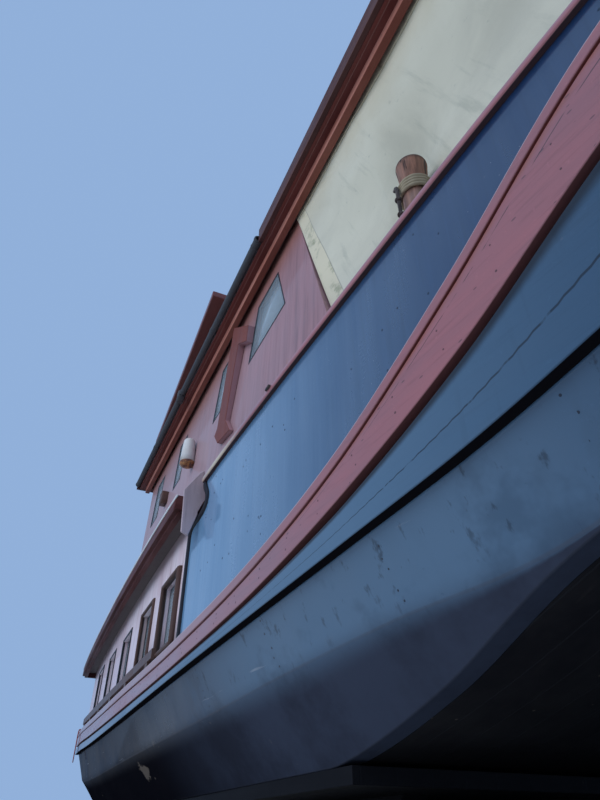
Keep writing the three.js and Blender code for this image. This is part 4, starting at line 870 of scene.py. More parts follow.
def sailcloth(name, paint):
    """Off-white canvas: weave, mildew streaks, a cream hem and head, a warmer second panel, seams and dirt.

    The run map has U in metres from the after edge and V in metres down from the eave.
    """
    f = Finish(name, Sheen_Weight=0.25, Sheen_Roughness=0.6)
    u, v, _ = f.parts(f.run)
    weave = ((u * 2600.0).sine() * 0.5 + (v * 2600.0).sine() * 0.5)
    cloud = f.noise(1.3, 5, 0.62, warp=0.5)
    streaks = f.noise(1.0, 5, 0.65, at=f.stretched(9.0, 1.2, 0.9, at=f.run))
    spots = f.noise(17.0, 4, 0.7)
    tone = f.mix(cloud.rise(0.34, 0.68) * 0.75, paint.canvas, shade(paint.canvas, 0.76))
    tone = f.mix(streaks.rise(0.54, 0.72) * 0.45, tone, towards(paint.canvas, MILDEW, 0.65))
    tone = f.mix(spots.rise(0.62, 0.76) * 0.35, tone, MILDEW)
    warm = u.rise(2.10, 2.12)
    tone = f.mix(warm * 0.55, tone, towards(paint.canvas, paint.cream, 0.75))
    hem = u.rise(0.132, 0.126)
    head = v.rise(0.75, 0.10) * cloud.rise(0.30, 0.60)
    tone = f.mix(head * 0.5, tone, paint.cream)
    tone = f.mix(hem * 0.9, tone, towards(paint.cream, paint.canvas, 0.25))
    tone = f.mix(hem * f.noise(5.0, 5, 0.7).rise(0.50, 0.66) * 0.75, tone, (0.20, 0.21, 0.10))
    seams = ((u - 0.130).size().rise(0.004, 0.002) + (u - 2.11).size().rise(0.006, 0.002)
             + (u - 2.15).size().rise(0.003, 0.001))
    stitches = v.repeat(0.012).size().rise(0.34, 0.26)
    tone = f.mix(seams * stitches * 0.8, tone, (0.10, 0.09, 0.08))
    low = v.rise(1.15, 1.95)
    tone = f.mix(low * 0.35, tone, (0.30, 0.31, 0.30))
    return f.surface(Base_Color=tone, Roughness=cloud * 0.1 + 0.80,
                     Normal=f.bump(weave * 0.12 + cloud * 0.4 - seams * 0.7 + streaks * 0.3, 0.0012))


def cream_strip(name, paint):
    """The stiffer cream band that laces the canvas to the eave."""
    f = Finish(name, Sheen_Weight=0.2)
    u, v, _ = f.parts(f.run)
    weave = (u * 2200.0).sine() * 0.5 + (v * 2200.0).sine() * 0.5
    cloud = f.noise(2.0, 4, 0.6)
    stain = f.noise(1.0, 5, 0.7, at=f.stretched(14.0, 3.0, 1.0, at=f.run))
    tone = f.mix(cloud.rise(0.35, 0.7) * 0.6, paint.cream, shade(paint.cream, 0.72))
    tone = f.mix(stain.rise(0.54, 0.68) * 0.6, tone, (0.22, 0.17, 0.07))
    return f.surface(Base_Color=tone, Roughness=cloud * 0.1 + 0.75,
                     Normal=f.bump(weave * 0.15 + cloud * 0.5, 0.0010))


def window_glass(name, paint):
    """Old window glass whose blue is a painted reflection of the pale sky, with a darker band at the head,
    painted as the eave's reflection, and dirt in its corners.
    """
    f = Finish(name, IOR=1.5, Specular_IOR_Level=0.6, Coat_Roughness=0.02)
    z = f.parts(f.place)[2]
    wave = f.noise(1.7, 2, 0.5)
    dirt = f.noise(1.0, 5, 0.65, at=f.stretched(5.0, 5.0, 1.2))
    # the glass colour: painted reflection of the sky
    tone = f.mix(wave.rise(0.3, 0.7), paint.glass, shade(paint.glass, 0.72))
    tone = f.mix(dirt.rise(0.56, 0.74) * 0.30, tone, (0.34, 0.35, 0.34))
    # darker band at the head: painted reflection of the eave
    tone = f.mix(z.rise(3.70, 3.72) * z.rise(4.0, 3.9) * 0.6, tone, (0.08, 0.11, 0.17))
    return f.surface(Base_Color=tone, Roughness=dirt * 0.12 + 0.04, Coat_Weight=0.9 - dirt * 0.2,
                     Normal=f.bump(wave, 0.002))


def metal(colour, rough, spot):
    """A maker of cast or galvanised metal: spangle and dull spots."""
    def make(name, paint):
        f = Finish(name)
        spangle = f.cells(60.0, output="Color")
        grey = f.parts(spangle)[0]
        cloud = f.noise(9.0, 4, 0.6)
        tone = f.mix(grey * 0.5, colour, shade(colour, 0.65))
        tone = f.mix(cloud.rise(0.52, 0.68) * 0.7, tone, spot)
        return f.surface(Base_Color=tone, Roughness=cloud * 0.25 + rough,
                         Metallic=0.9 - cloud.rise(0.5, 0.7) * 0.6, Normal=f.bump(cloud + grey * 0.2, 0.0008))
    return make


def gutter_plastic(name, paint):
    """Dark brown pipe, lighter on top with dust and a painted highlight, with faint lengthwise drawing lines.
    """
    f = Finish(name, Coat_Roughness=0.15)
    z = f.parts(f.place)[2]
    dust_and_highlight = f.noise(3.0, 4, 0.6)
    lines = f.noise(1.0, 3, 0.6, at=f.stretched(0.8, 60.0, 60.0))
    tone = f.mix(lines.rise(0.35, 0.7), (0.105, 0.044, 0.035), (0.17, 0.080, 0.064))
    # lighter upper half: dust, and a painted highlight along the pipe's upper edge
    tone = f.mix(z.rise(4.215, 4.25) * dust_and_highlight * 0.8, tone, (0.30, 0.27, 0.27))
    tone = f.mix(dust_and_highlight.rise(0.60, 0.74) * 0.4, tone, (0.18, 0.15, 0.14))
    return f.surface(Base_Color=tone, Roughness=dust_and_highlight * 0.2 + 0.40, Coat_Weight=0.12,
                     Normal=f.bump(lines, 0.0004))


def rope_yarn(colour_name, dark_share=0.0):
    """A maker of laid rope: yarns follow the strands, with painted shade in the grooves. V goes round it."""
    def make(name, paint):
        f = Finish(name, Sheen_Weight=0.15)
        colour = getattr(paint, colour_name)
        u, v, _ = f.parts(f.run)
        yarns = (v * 16.0 + u * 420.0).sine()
        fuzz = f.noise(240.0, 3, 0.7)
        cloud = f.noise(14.0, 4, 0.6)
        # dark between the yarns: painted shade in the grooves
        tone = f.mix(yarns.rise(-0.3, 0.8) * 0.7, shade(colour, 0.55), colour)
        tone = f.mix(cloud.rise(0.42, 0.66) * 0.6, tone, shade(colour, 0.50))
        tone = f.mix(fuzz.rise(0.55, 0.75) * 0.4, tone, shade(colour, 1.5))
        tone = f.mix(cloud.rise(0.60, 0.40) * dark_share, tone, (0.035, 0.028, 0.026))
        return f.surface(Base_Color=tone, Roughness=fuzz * 0.1 + 0.82,
                         Normal=f.bump(yarns * 0.5 + fuzz * 0.5, 0.0012))
    return make


def lamp_white(name, paint):
    """Yellowed white enamel with rust that creeps up from the foot and runs down."""
    f = Finish(name, Coat_Roughness=0.1)
    runs = f.noise(1.0, 4, 0.65, at=f.stretched(30.0, 30.0, 5.0))
    cloud = f.noise(12.0, 4, 0.6)
    tone = f.mix(cloud.rise(0.4, 0.7) * 0.5, (0.62, 0.60, 0.58), (0.52, 0.49, 0.45))
    tone = f.mix(runs.rise(0.60, 0.68) * 0.4, tone, (0.34, 0.24, 0.17))
    tone = f.mix(cloud.rise(0.68, 0.74) * 0.8, tone, RUST)
    return f.surface(Base_Color=tone, Roughness=cloud * 0.3 + 0.30, Coat_Weight=0.4 - runs * 0.2,
                     Normal=f.bump(cloud, 0.0010))


def lamp_amber(name, paint):
    """The lamp's rusted round foot, amber where the glass shows through."""
    f = Finish(name, Coat_Roughness=0.1)
    cloud = f.noise(26.0, 5, 0.65)
    ring = f.noise(1.0, 3, 0.6, at=f.stretched(9.0, 9.0, 70.0))
    tone = f.mix(cloud.rise(0.38, 0.62), (0.42, 0.17, 0.045), (0.10, 0.035, 0.022))
    tone = f.mix(ring.rise(0.55, 0.7) * 0.6, tone, (0.50, 0.33, 0.16))
    return f.surface(Base_Color=tone, Roughness=cloud * 0.4 + 0.25, Coat_Weight=0.5 - cloud * 0.4,
                     Normal=f.bump(cloud, 0.0015))


def deck_boards(name, paint):
    """Grey deck paint over boards that run fore and aft, with worn patches of grain."""
    f = Finish(name, Coat_Roughness=0.3)
    y = f.parts(f.place)[1]
    cloud = f.noise(1.1, 5, 0.62)
    grain = f.noise(1.0, 4, 0.6, at=f.stretched(1.2, 26.0, 26.0))
    seams = y.repeat(0.115).size().rise(0.468, 0.488)
    tone = f.mix(cloud.rise(0.35, 0.68) * 0.6, paint.deck, shade(paint.deck, 0.65))
    tone = f.mix(grain.rise(0.58, 0.74) * 0.4, tone, towards(paint.deck, GREY_WOOD, 0.8))
    tone = f.mix(seams * 0.85, tone, (0.020, 0.017, 0.016))
    tone = f.mix(f.noise(30.0, 3).rise(0.60, 0.75) * 0.3, tone, CHALK)
    return f.surface(Base_Color=tone, Roughness=cloud * 0.2 + 0.5, Coat_Weight=0.1 + grain * 0.08,
                     Normal=f.bump(grain * 0.4 + cloud * 0.2 - seams * 1.0, 0.0014))


def inside_wood(name, paint):
    """Varnished boards of the rooms."""
    f = Finish(name, Coat_Roughness=0.2)
    grain = f.noise(1.0, 5, 0.65, at=f.stretched(1.4, 30.0, 30.0), warp=0.3)
    y = f.parts(f.place)[1]
    seams = y.repeat(0.10).size().rise(0.472, 0.490)
    tone = f.mix(grain.rise(0.35, 0.66), (0.21, 0.105, 0.050), (0.11, 0.050, 0.024))
    tone = f.mix(seams * 0.8, tone, (0.020, 0.010, 0.006))
    return f.surface(Base_Color=tone, Roughness=grain * 0.2 + 0.32, Coat_Weight=0.35 + grain * 0.1,
                     Normal=f.bump(grain * 0.5 - seams, 0.0008))


def floor_plaster(name, paint):
    """The studio's pale floor."""
    f = Finish(name)
    cloud = f.noise(0.6, 3, 0.5)
    tone = f.mix(cloud * 0.3, paint.floor, shade(paint.floor, 0.92))
    return f.surface(Base_Color=tone, Roughness=cloud * 0.1 + 0.85)


ALONG = (0.9, 7.0, 14.0)
FINISHES = {
    "hull_blue": hull_blue,
    "bulwark_blue": bulwark_blue,
    "end_board": plain_paint("black", 0.50, 0.10, UPRIGHT),
    "rail_maroon": rail_maroon,
    "strake_maroon": strake_maroon,
    "wale_blue": wale_blue,
    "bottom_black": black_bottom,
    "saloon_red": saloon_red,
    "cabin_pink": cabin_pink,
    "cornice": cornice,
    "roof_red": plain_paint("dark_red", 0.36, 0.30, ALONG),
    "roof_cover": plain_paint("roof", 0.62, 0.05, (3.0, 3.0, 3.0), 0.0015),
    "side_frame": side_frame,
    "frame_red": plain_paint("dark_red", 0.50, 0.05, UPRIGHT, by=1.3),
    "frame_brown": plain_paint("brown", 0.45, 0.20, UPRIGHT),
    "lilac_board": plain_paint("lilac", 0.45, 0.25, UPRIGHT),
    "white_strip": plain_paint("white", 0.42, 0.20, ALONG, chips=0.8, fade_by=0.75),
    "black_paint": plain_paint("black", 0.35, 0.35, ALONG, fade_by=2.2),
    "bung_blue": plain_paint("blue", 0.30, 0.5, (30.0, 30.0, 30.0), 0.0004, by=0.42),
    "bung_maroon": plain_paint("maroon", 0.35, 0.4, (30.0, 30.0, 30.0), 0.0004, by=0.35),
    "oak": oak,
    "sailcloth": sailcloth,
    "cream_strip": cream_strip,
    "glass": window_glass,
    "galvanised": metal((0.42, 0.43, 0.44), 0.35, (0.20, 0.15, 0.12)),
    "bronze": metal((0.42, 0.25, 0.10), 0.30, (0.10, 0.20, 0.15)),
    "iron": metal((0.10, 0.095, 0.095), 0.45, (0.16, 0.07, 0.04)),
    "gutter_plastic": gutter_plastic,
    "rope_tan": rope_yarn("rope", 0.35),
    "rope_dark": rope_yarn("rope_dark"),
    "rope_red": rope_yarn("rope_red"),
    "lamp_white": lamp_white,
    "lamp_amber": lamp_amber,
    "deck_boards": deck_boards,
    "inside_wood": inside_wood,
    "floor_plaster": floor_plaster,
}


def finish(name):
    """The named finish, made the first time it is asked for."""
    made = bpy.data.materials.get(name)
    return made or FINISHES[name](name, bpy.context.scene.houseboat_paint)


# Sizes and colours that a user may change


def colour_prop(name, description, default):
    return bpy.props.FloatVectorProperty(name=name, description=description, default=default, size=3,
                                         min=0.0, max=1.0, subtype="COLOR")


def length_prop(name, description, default, low=0.0, high=2.0):
    return bpy.props.FloatProperty(name=name, description=description, default=default, min=low, max=high,
                                   subtype="DISTANCE", unit="LENGTH")


class HouseboatPaint(bpy.types.PropertyGroup):
    """Colours of the boat's paints and cloths."""
    navy: colour_prop("Navy", "Paint of the planking above the chine", (0.043, 0.088, 0.155))
    blue: colour_prop("Blue", "Paint of the bulwark and wale", (0.009, 0.028, 0.075))
    maroon: colour_prop("Maroon", "Paint of the rail and strakes", (0.270, 0.096, 0.102))
    wall: colour_prop("Wall red", "Faded paint of the saloon's sides", (0.255, 0.132, 0.141))
    pink: colour_prop("Cabin pink", "Faded paint of the after cabin's sides", (0.72, 0.53, 0.56))
    dark_red: colour_prop("Dark red", "Paint of the roof boards and frames", (0.120, 0.030, 0.024))
    brown: colour_prop("Brown", "Paint of toe rails and window frames", (0.085, 0.042, 0.030))
    black: colour_prop("Black", "Paint under the waterline and on chocks", (0.010, 0.009, 0.012))
    orange: colour_prop("Orange", "Undercoat that shows on the strakes", (0.36, 0.095, 0.050))
    lilac: colour_prop("Lilac", "Faded paint of the roof edge's bracket boards", (0.40, 0.31, 0.33))
    white: colour_prop("White", "Paint of the strip on the after roof's edge", (0.60, 0.60, 0.60))
    cream: colour_prop("Cream", "Cream cloth and bare wood", (0.62, 0.54, 0.36))
    canvas: colour_prop("Canvas", "Cloth of the side screens", (0.590, 0.555, 0.425))
    oak: colour_prop("Oak", "Bare timber of the posts", (0.320, 0.148, 0.092))
    glass: colour_prop("Glass", "Window panes with the sky in them", (0.07, 0.25, 0.68))
    roof: colour_prop("Roof cover", "Felt on top of the roofs", (0.13, 0.105, 0.10))
    deck: colour_prop("Deck", "Deck paint", (0.21, 0.21, 0.21))
    rope: colour_prop("Rope", "Mooring rope", (0.50, 0.40, 0.27))
    rope_dark: colour_prop("Tail", "Tarred tail of the mooring rope", (0.075, 0.050, 0.042))
    rope_red: colour_prop("Red rope", "Loop near the stern", (0.26, 0.035, 0.028))
    floor: colour_prop("Floor", "Studio floor", (0.55, 0.55, 0.54))


class HouseboatTimber(bpy.types.PropertyGroup):
    """Small sizes of the joinery."""
    ease: length_prop("Eased edges", "Rounding of plank and board edges", 0.007, 0.001, 0.03)
    bung: length_prop("Bung radius", "Radius of the wooden plugs over the fastenings", 0.0075, 0.003, 0.02)
    bungs: bpy.props.IntProperty(name="Bungs", description="Plugs on each bulwark", default=60,
                                 min=10, max=900)
    bead: length_prop("Window bead", "Width of the black bead round a window", 0.020, 0.004, 0.06)
    moulding: length_prop("End moulding", "How far the bulwark's end moulding stands proud",
                          0.016, 0.002, 0.03)
    frame_proud: length_prop("Frame", "How far the after cabin's window frames stand proud",
                             0.022, 0.004, 0.06)


class HouseboatCanvas(bpy.types.PropertyGroup):
    """Side screens."""
    fold: length_prop("Folds", "Depth of the folds from the upper after corner", 0.011, 0.0, 0.02)
    hook_pitch: length_prop("Hook pitch", "Distance between the strip's hooks", 0.085, 0.03, 0.3)
    cloth: length_prop("Cloth", "Thickness of the canvas", 0.003, 0.0005, 0.01)


class HouseboatRope(bpy.types.PropertyGroup):
    """Mooring ropes."""
    turns: bpy.props.FloatProperty(name="Turns", description="Turns of the rope round a post", default=4.0,
                                   min=1.0, max=6.0)
    relief: bpy.props.FloatProperty(name="Strand relief", description="Groove depth as a share of the radius",
                                    default=0.16, min=0.0, max=0.4, subtype="FACTOR")
    knot: length_prop("Knot", "Size of the knots in the tail", 0.021, 0.01, 0.05)


class HouseboatStage(bpy.types.PropertyGroup):
    """Camera, light and floor."""
    eye: bpy.props.FloatVectorProperty(name="Eye", description="Camera's place", size=3,
                                       subtype="TRANSLATION", unit="LENGTH", default=(4.300, -3.050, 0.015))
    pitch: bpy.props.FloatProperty(name="Pitch", description="Camera's tilt above level", subtype="ANGLE",
                                   unit="ROTATION", default=math.radians(36.56))
    yaw: bpy.props.FloatProperty(name="Yaw", description="Camera's turn from straight aft towards port",
                                 subtype="ANGLE", unit="ROTATION", default=math.radians(24.47))
    lens: bpy.props.FloatProperty(name="Lens", description="Focal length in mm, 36 mm wide frame",
                                  default=36.0, min=10.0, max=200.0)
    sky: colour_prop("Sky", "Plain pale backdrop and fill light", (0.285, 0.435, 0.700))
    sky_strength: bpy.props.FloatProperty(name="Sky strength", description="Strength of the backdrop",
                                          default=1.0, min=0.0, max=10.0)
    key: bpy.props.FloatProperty(name="Side light", description="Power of the soft light abeam, in watts",
                                 default=620.0, min=0.0, max=10000.0)
    top: bpy.props.FloatProperty(name="Top light", description="Power of the soft light above, in watts",
                                 default=900.0, min=0.0, max=10000.0)


GROUPS = {
    "houseboat_paint": HouseboatPaint,
    "houseboat_timber": HouseboatTimber,
    "houseboat_canvas": HouseboatCanvas,
    "houseboat_rope": HouseboatRope,
    "houseboat_stage": HouseboatStage,
}


# Stage


def soft_light(name, place, aim, size, watts, colour):
    """A large square area light at a place, turned towards a point."""
    data = bpy.data.lights.new(name, "AREA")
    data.shape = "SQUARE"
    data.size = size
    data.energy = watts
    data.color = colour
    lamp = bpy.data.objects.new(name, data)
    away = np.asarray(place, float) - np.asarray(aim, float)
    lamp.matrix_world = Matrix.Translation(place) @ looking_along(-away).to_4x4()
    lamp.visible_glossy = False
    bpy.context.scene.collection.objects.link(lamp)


def looking_along(forward):
    """Rotation whose -Z runs along a direction and whose X is level."""
    forward = np.asarray(forward, float) / np.linalg.norm(forward)
    right = np.cross(forward, [0, 0, 1.0])
    if np.linalg.norm(right) < 1e-6:
        right = np.array([1.0, 0, 0])
    right = right / np.linalg.norm(right)
    up = np.cross(right, forward)
    return Matrix(np.stack([right, up, -forward], 1).tolist())


class HOUSEBOAT_OT_stage(bpy.types.Operator):
    """Add the camera, the plain backdrop, the soft lights and the pale floor"""
    bl_idname = "houseboat.stage"
    bl_label = "Stage"

    def execute(self, context):
        scene = context.scene
        stage = scene.houseboat_stage
        lens = bpy.data.cameras.new("photo_camera")
        lens.sensor_fit = "HORIZONTAL"
        lens.sensor_width = 36.0
        lens.lens = stage.lens
        lens.clip_start = 0.01
        lens.clip_end = 200.0
        camera = bpy.data.objects.new("photo_camera", lens)
        scene.collection.objects.link(camera)
        flat = math.cos(stage.pitch)
        forward = (-math.cos(stage.yaw) * flat, math.sin(stage.yaw) * flat, math.sin(stage.pitch))
        camera.matrix_world = Matrix.Translation(stage.eye) @ looking_along(forward).to_4x4()
        scene.camera = camera
        scene.view_settings.view_transform = "Standard"
        world = bpy.data.worlds.new("plain_backdrop")
        world.use_nodes = True
        sky = world.node_tree.nodes["Background"]
        sky.inputs["Color"].default_value = (*stage.sky, 1)
        sky.inputs["Strength"].default_value = stage.sky_strength
        scene.world = world
        soft_light("side_light", (2.0, -11.0, 7.0), (-1.0, -1.0, 2.0), 9.0, stage.key, (0.93, 0.97, 1.0))
        soft_light("top_light", (0.0, 0.0, 14.0), (0.0, 0.0, 0.0), 14.0, stage.top, (1.0, 0.98, 0.95))
        side = np.linspace(-26.0, 26.0, 9)
        x, y = np.meshgrid(side, side, indexing="ij")
        level = np.full_like(x, -0.001)
        floor = bpy.data.objects.new("floor", grid_mesh("floor", np.stack([x, y, level], -1)))
        floor.data.materials.append(finish("floor_plaster"))
        scene.collection.objects.link(floor)
        return {"FINISHED"}


# Ropes


def laid_rope(name, path, radius, relief, strands=3, pitch=7.0, sides=18, guide=(0, 0, 1)):
    """A round section with a groove between each two strands, which wind along the path.

    radius(a, s) = r * (1 - relief * (1 - |cos(strands / 2 * (a - 2 pi s / (pitch 2 r)))|)).
    """
    run = lengths_along(path)
    angle = np.linspace(0, 2 * np.pi, sides, endpoint=False)
    turn = angle[None, :] - 2 * np.pi * run[:, None] / (pitch * 2 * radius)
    bulge = radius * (1 - relief * (1 - np.abs(np.cos(strands / 2 * turn))))
    bulge[[0, -1]] *= 0.55
    grid = tube_grid(path, bulge, sides, guide)
    uv = np.stack(np.broadcast_arrays(run[:, None], angle[None, :]), -1)
    return turned_out(grid_mesh(name, grid, ring=True, caps=True, uv=uv))


def knot_mesh(name, centre, size, thick):
    """A trefoil ((2 + cos 3t) cos 2t, (2 + cos 3t) sin 2t, sin 3t), drawn in tight, as an overhand knot."""
    t = np.linspace(0, 2 * np.pi, 73)
    reach = 2 + np.cos(3 * t)
    path = np.stack([reach * np.cos(2 * t), reach * np.sin(2 * t), 1.3 * np.sin(3 * t)], 1)
    path = path / 3.0 * (size - thick) + np.asarray(centre)
    grid = tube_grid(np.vstack([path[-2], path, path[1]]), thick, 10)[1:-2]
    return turned_out(grid_mesh(name, grid, ring=True, loop=True))


def tail_path():
    """The rope tail's route, from the turns down the post's outer side."""
    x, y = POST["x"], POST["y"]
    out = POST["r"] - 0.010 + 2 * ROPE["r"] + ROPE["tail"] + 0.0012
    return smooth_path([
        (x - 0.060, -y - out + 0.018, ROPE["z1"] - 0.020), (x - 0.020, -y - out, ROPE["z1"] - 0.060),
        (x - 0.012, -y - out - 0.004, ROPE["z0"] - 0.060), (x - 0.022, -y - out + 0.008, ROPE["z0"] - 0.170),
        (x - 0.004, -y - out + 0.014, ROPE["z0"] - 0.300),
    ], 120)


def loop_path():
    """The stern loop's route: over the deck's edge, down the strakes and back up."""
    x, wide, r, drop = LOOP["x"], LOOP["wide"], LOOP["r"], LOOP["drop"]
    top = float(hull_at(x)["top"]) + r + 0.0025
    over = 0.008 + r + 0.005

    def leg(dx):
        half = float(hull_at(x + dx)["half"])
        return [(x + dx, -half + LOOP["inset"], top), (x + dx, -half + 0.025, top + 0.004),
                (x + dx, -half - 0.010, top + 0.004), (x + dx, -half - over, top - 0.040),
                (x + dx * 0.9 + 0.003, -half - over, top - drop * 0.6)]

    bight = (x + wide / 2, -float(hull_at(x)["half"]) - over - 0.001, top - drop)
    return smooth_path([*leg(0.0), bight, *leg(wide)[::-1]], 160)


class HOUSEBOAT_OT_ropes(bpy.types.Operator):
    """Wind the mooring rope round the starboard post, hang its knotted tail and lay the stern loop"""
    bl_idname = "houseboat.ropes"
    bl_label = "Ropes"

    def execute(self, context):
        rope = context.scene.houseboat_rope
        path = tail_path()
        for place, share in ((0, 0.42), (1, 0.66), (2, 0.975)):
            at = path[int(share * (len(path) - 1))]
            mesh = knot_mesh("tail_knot", at, rope.knot, 0.0065)
            link(f"tail_knot_{place}", mesh, finish("rope_dark"))
        tail = link("rope_tail", laid_rope("rope_tail", path, ROPE["tail"], rope.relief, guide=(0, 1, 0)),
                    finish("rope_dark"), replaces=("mooring_rope_tail",))
        path = loop_path()
        mesh = laid_rope("stern_loop", path, LOOP["r"], rope.relief, guide=(1, 1, 1), sides=12)
        loop = link("stern_loop", mesh, finish("rope_red"), replaces=("stern_rope_loop",))
        thick = 0.0118
        wind = POST["r"] - 0.010 + 0.0005 + thick
        turn = np.linspace(0, 2 * np.pi * rope.turns, int(64 * rope.turns))
        rise = np.linspace(ROPE["z1"] - thick - 0.001, ROPE["z0"] + thick + 0.001, len(turn))
        at = turn + 4.0
        path = np.stack([POST["x"] + wind * np.cos(at), -POST["y"] - wind * np.sin(at), rise], 1)
        mesh = laid_rope("rope_turns", path, thick, rope.relief, sides=16)
        link("rope_turns", mesh, finish("rope_tan"), replaces=("mooring_rope_turns",))
        return {"FINISHED"}


# Hull


def planked_ring(x, corners, ease):
    """A closed section carried along the hull. Each corner is (inset, height, pull, half).

    A corner set in from the strakes' line uses the plan's normal, and one with its own half keeps that width.
    """
    row = hull_at(x)
    points = []
    for inset, height, pull, half in corners:
        z = height(row) if callable(height) else height
        if half is None:
            inset = inset(row) if callable(inset) else inset
            points.append(side_point(row, inset, z, row["pull"] * pull))
        else:
            points.append(np.stack(np.broadcast_arrays(row["x"] - row["pull"] * pull, -half(row), z), -1))
    section = np.stack(points, 1)
    grid = rounded(section, ease) if ease else section
    return grid, spread_uv(grid, corner_marks(len(corners), 0.0))


def hull_side_mesh(ease):
    """Half the planked tub: seam, chines, wale, strake ledge and top, then the inner skin back to the seam.

    Forward of the room the inner skin closes on the middle plane, so that the bow is solid.
    """
    side_x = np.linspace(TRANSOM_FACE_X, BOTTOM_FORE_X, 200)
    fore_x = np.linspace(BOTTOM_FORE_X, ROOM_FORE_X, 6)
    bow_x = np.linspace(ROOM_FORE_X, STEM_X, 22)
    x = np.concatenate([side_x, fore_x, bow_x])
    open_seam = np.concatenate([np.ones(len(side_x)), np.zeros(len(fore_x) + len(bow_x))])
    open_room = np.concatenate([np.ones(len(side_x) + len(fore_x)), np.zeros(len(bow_x))])

    def seam(row):
        return np.maximum((row["low_half"] - SEAM_IN) * open_seam, GAP)

    def room(width):
        return lambda row: np.maximum(width(row) * open_room, GAP)

    def inner(inset):
        return room(lambda row: row["half"] - row["ny"] * inset)

    outer_in = STRAKE_OUT + 0.004
    inner_in = STRAKE_OUT + PLANK
    corners = [
        (0, lambda row: row["low_z"], 1, seam),
        (0, lambda row: row["low_z"], 1, lambda row: row["low_half"]),
        (0, lambda row: row["chine_z"], 1, lambda row: row["chine_half"]),
        (outer_in, lambda row: row["wale"], WALE_PULL, None),
        (STRAKE_OUT, lambda row: row["low"], 0, None),
        (STRAKE_OUT, lambda row: row["top"], 0, None),
        (0, lambda row: row["top"], 0, inner(inner_in)),
        (0, lambda row: row["low"], 0, inner(inner_in)),
        (0, lambda row: row["wale"], WALE_PULL, inner(inner_in)),
        (0, lambda row: row["chine_z"] + 0.045, 1, room(lambda row: row["chine_half"] - 0.085)),
        (0, lambda row: row["low_z"] + 0.070, 1, room(lambda row: row["low_half"] - 0.090)),
        (0, lambda row: row["low_z"] + 0.070 * open_seam, 1, seam),
    ]
    grid, uv = planked_ring(x, corners, ease)
    low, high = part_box("hull_side_starboard")
    grid = np.clip(grid, np.asarray(low), np.asarray(high))
    return turned_out(grid_mesh("hull_side", grid, ring=True, caps=True, uv=uv))


def bottom_mesh(ease):
    """The flat bottom between the two sides: a closed slab whose half follows the lower chine."""
    x = np.linspace(TRANSOM_FACE_X, BOTTOM_FORE_X, 140)
    row = hull_at(x)
    half = np.maximum(row["low_half"] - SEAM_IN - GAP, 0.02)
    low, high = row["low_z"], row["low_z"] + BOTTOM_THICK
    at = row["x"] - row["pull"]
    corners = ((-half, low), (half, low), (half, high), (-half, high))
    section = np.stack([np.stack([at, y, z], -1) for y, z in corners], 1)
    return turned_out(grid_mesh("hull_bottom", rounded(section, ease * 0.5), ring=True, caps=True))


def nosed(x0, x1, count, nose, grid_of):
    """Rows from x0 to x1 whose first few shrink to the section's middle, as a rounded end.

    The size of a row at angle a is sin a, at the distance nose * (1 - cos a) from the end.
    """
    a = np.linspace(0.12, np.pi / 2, 9)
    x = np.concatenate([x0 + nose * (1 - np.cos(a[:-1])), np.linspace(x0 + nose, x1, count)])
    size = np.concatenate([np.sin(a[:-1]), np.ones(count)])[:, None, None]
    grid, uv = grid_of(x)
    middle = grid.mean(1, keepdims=True)
    return middle + (grid - middle) * size, uv


def strakes_mesh(ease):
    """The broad strake, a dark groove, and the narrow strake that stands a little prouder above it."""
    groove = 0.014
    corners = [
        (STRAKE_OUT - GAP, lambda row: row["low"], 0, None),
        (0.0, lambda row: row["low"], 0, None),
        (0.0, lambda row: row["top"] - NARROW_HIGH - 0.008, 0, None),
        (groove, lambda row: row["top"] - NARROW_HIGH - 0.008, 0, None),
        (groove, lambda row: row["top"] - NARROW_HIGH, 0, None),
        (-NARROW_PROUD, lambda row: row["top"] - NARROW_HIGH, 0, None),
        (-NARROW_PROUD, lambda row: row["top"] - GAP, 0, None),
        (STRAKE_OUT - GAP, lambda row: row["top"] - GAP, 0, None),
    ]
    grid, uv = nosed(-6.910, 7.200, 220, 0.045, lambda x: planked_ring(x, corners, ease))
    low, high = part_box("rubbing_strakes_starboard")
    grid = np.clip(grid, np.asarray(low), np.asarray(high))
    return turned_out(grid_mesh("strakes", grid, ring=True, caps=True, uv=uv))


def cove_foot(row, share):
    """The height that is the share of the wale's own height under its top, and never more than 48 mm down."""
    return row["low"] - GAP - np.minimum(0.20, row["low"] - row["wale"]) * share


def wale_mesh(ease):
    """The lower blue band, with a black underside."""
    low, high = (np.asarray(p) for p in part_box("wale_starboard"))
    corners = [
        (STRAKE_OUT + 0.0037, lambda row: row["wale"], WALE_PULL, None),
        (0.004, lambda row: row["wale"], WALE_PULL, None),
        (0.004, lambda row: cove_foot(row, 0.24), 0, None),
        (0.038, lambda row: cove_foot(row, 0.10), 0, None),
        (STRAKE_OUT - GAP, lambda row: row["low"] - GAP, 0, None),
    ]
    x0 = max(float(low[0]), -6.900)
    grid, uv = nosed(x0, 7.200, 220, 0.040, lambda x: planked_ring(x, corners, ease))
    return turned_out(grid_mesh("wale", np.clip(grid, low, high), ring=True, caps=True, uv=uv))


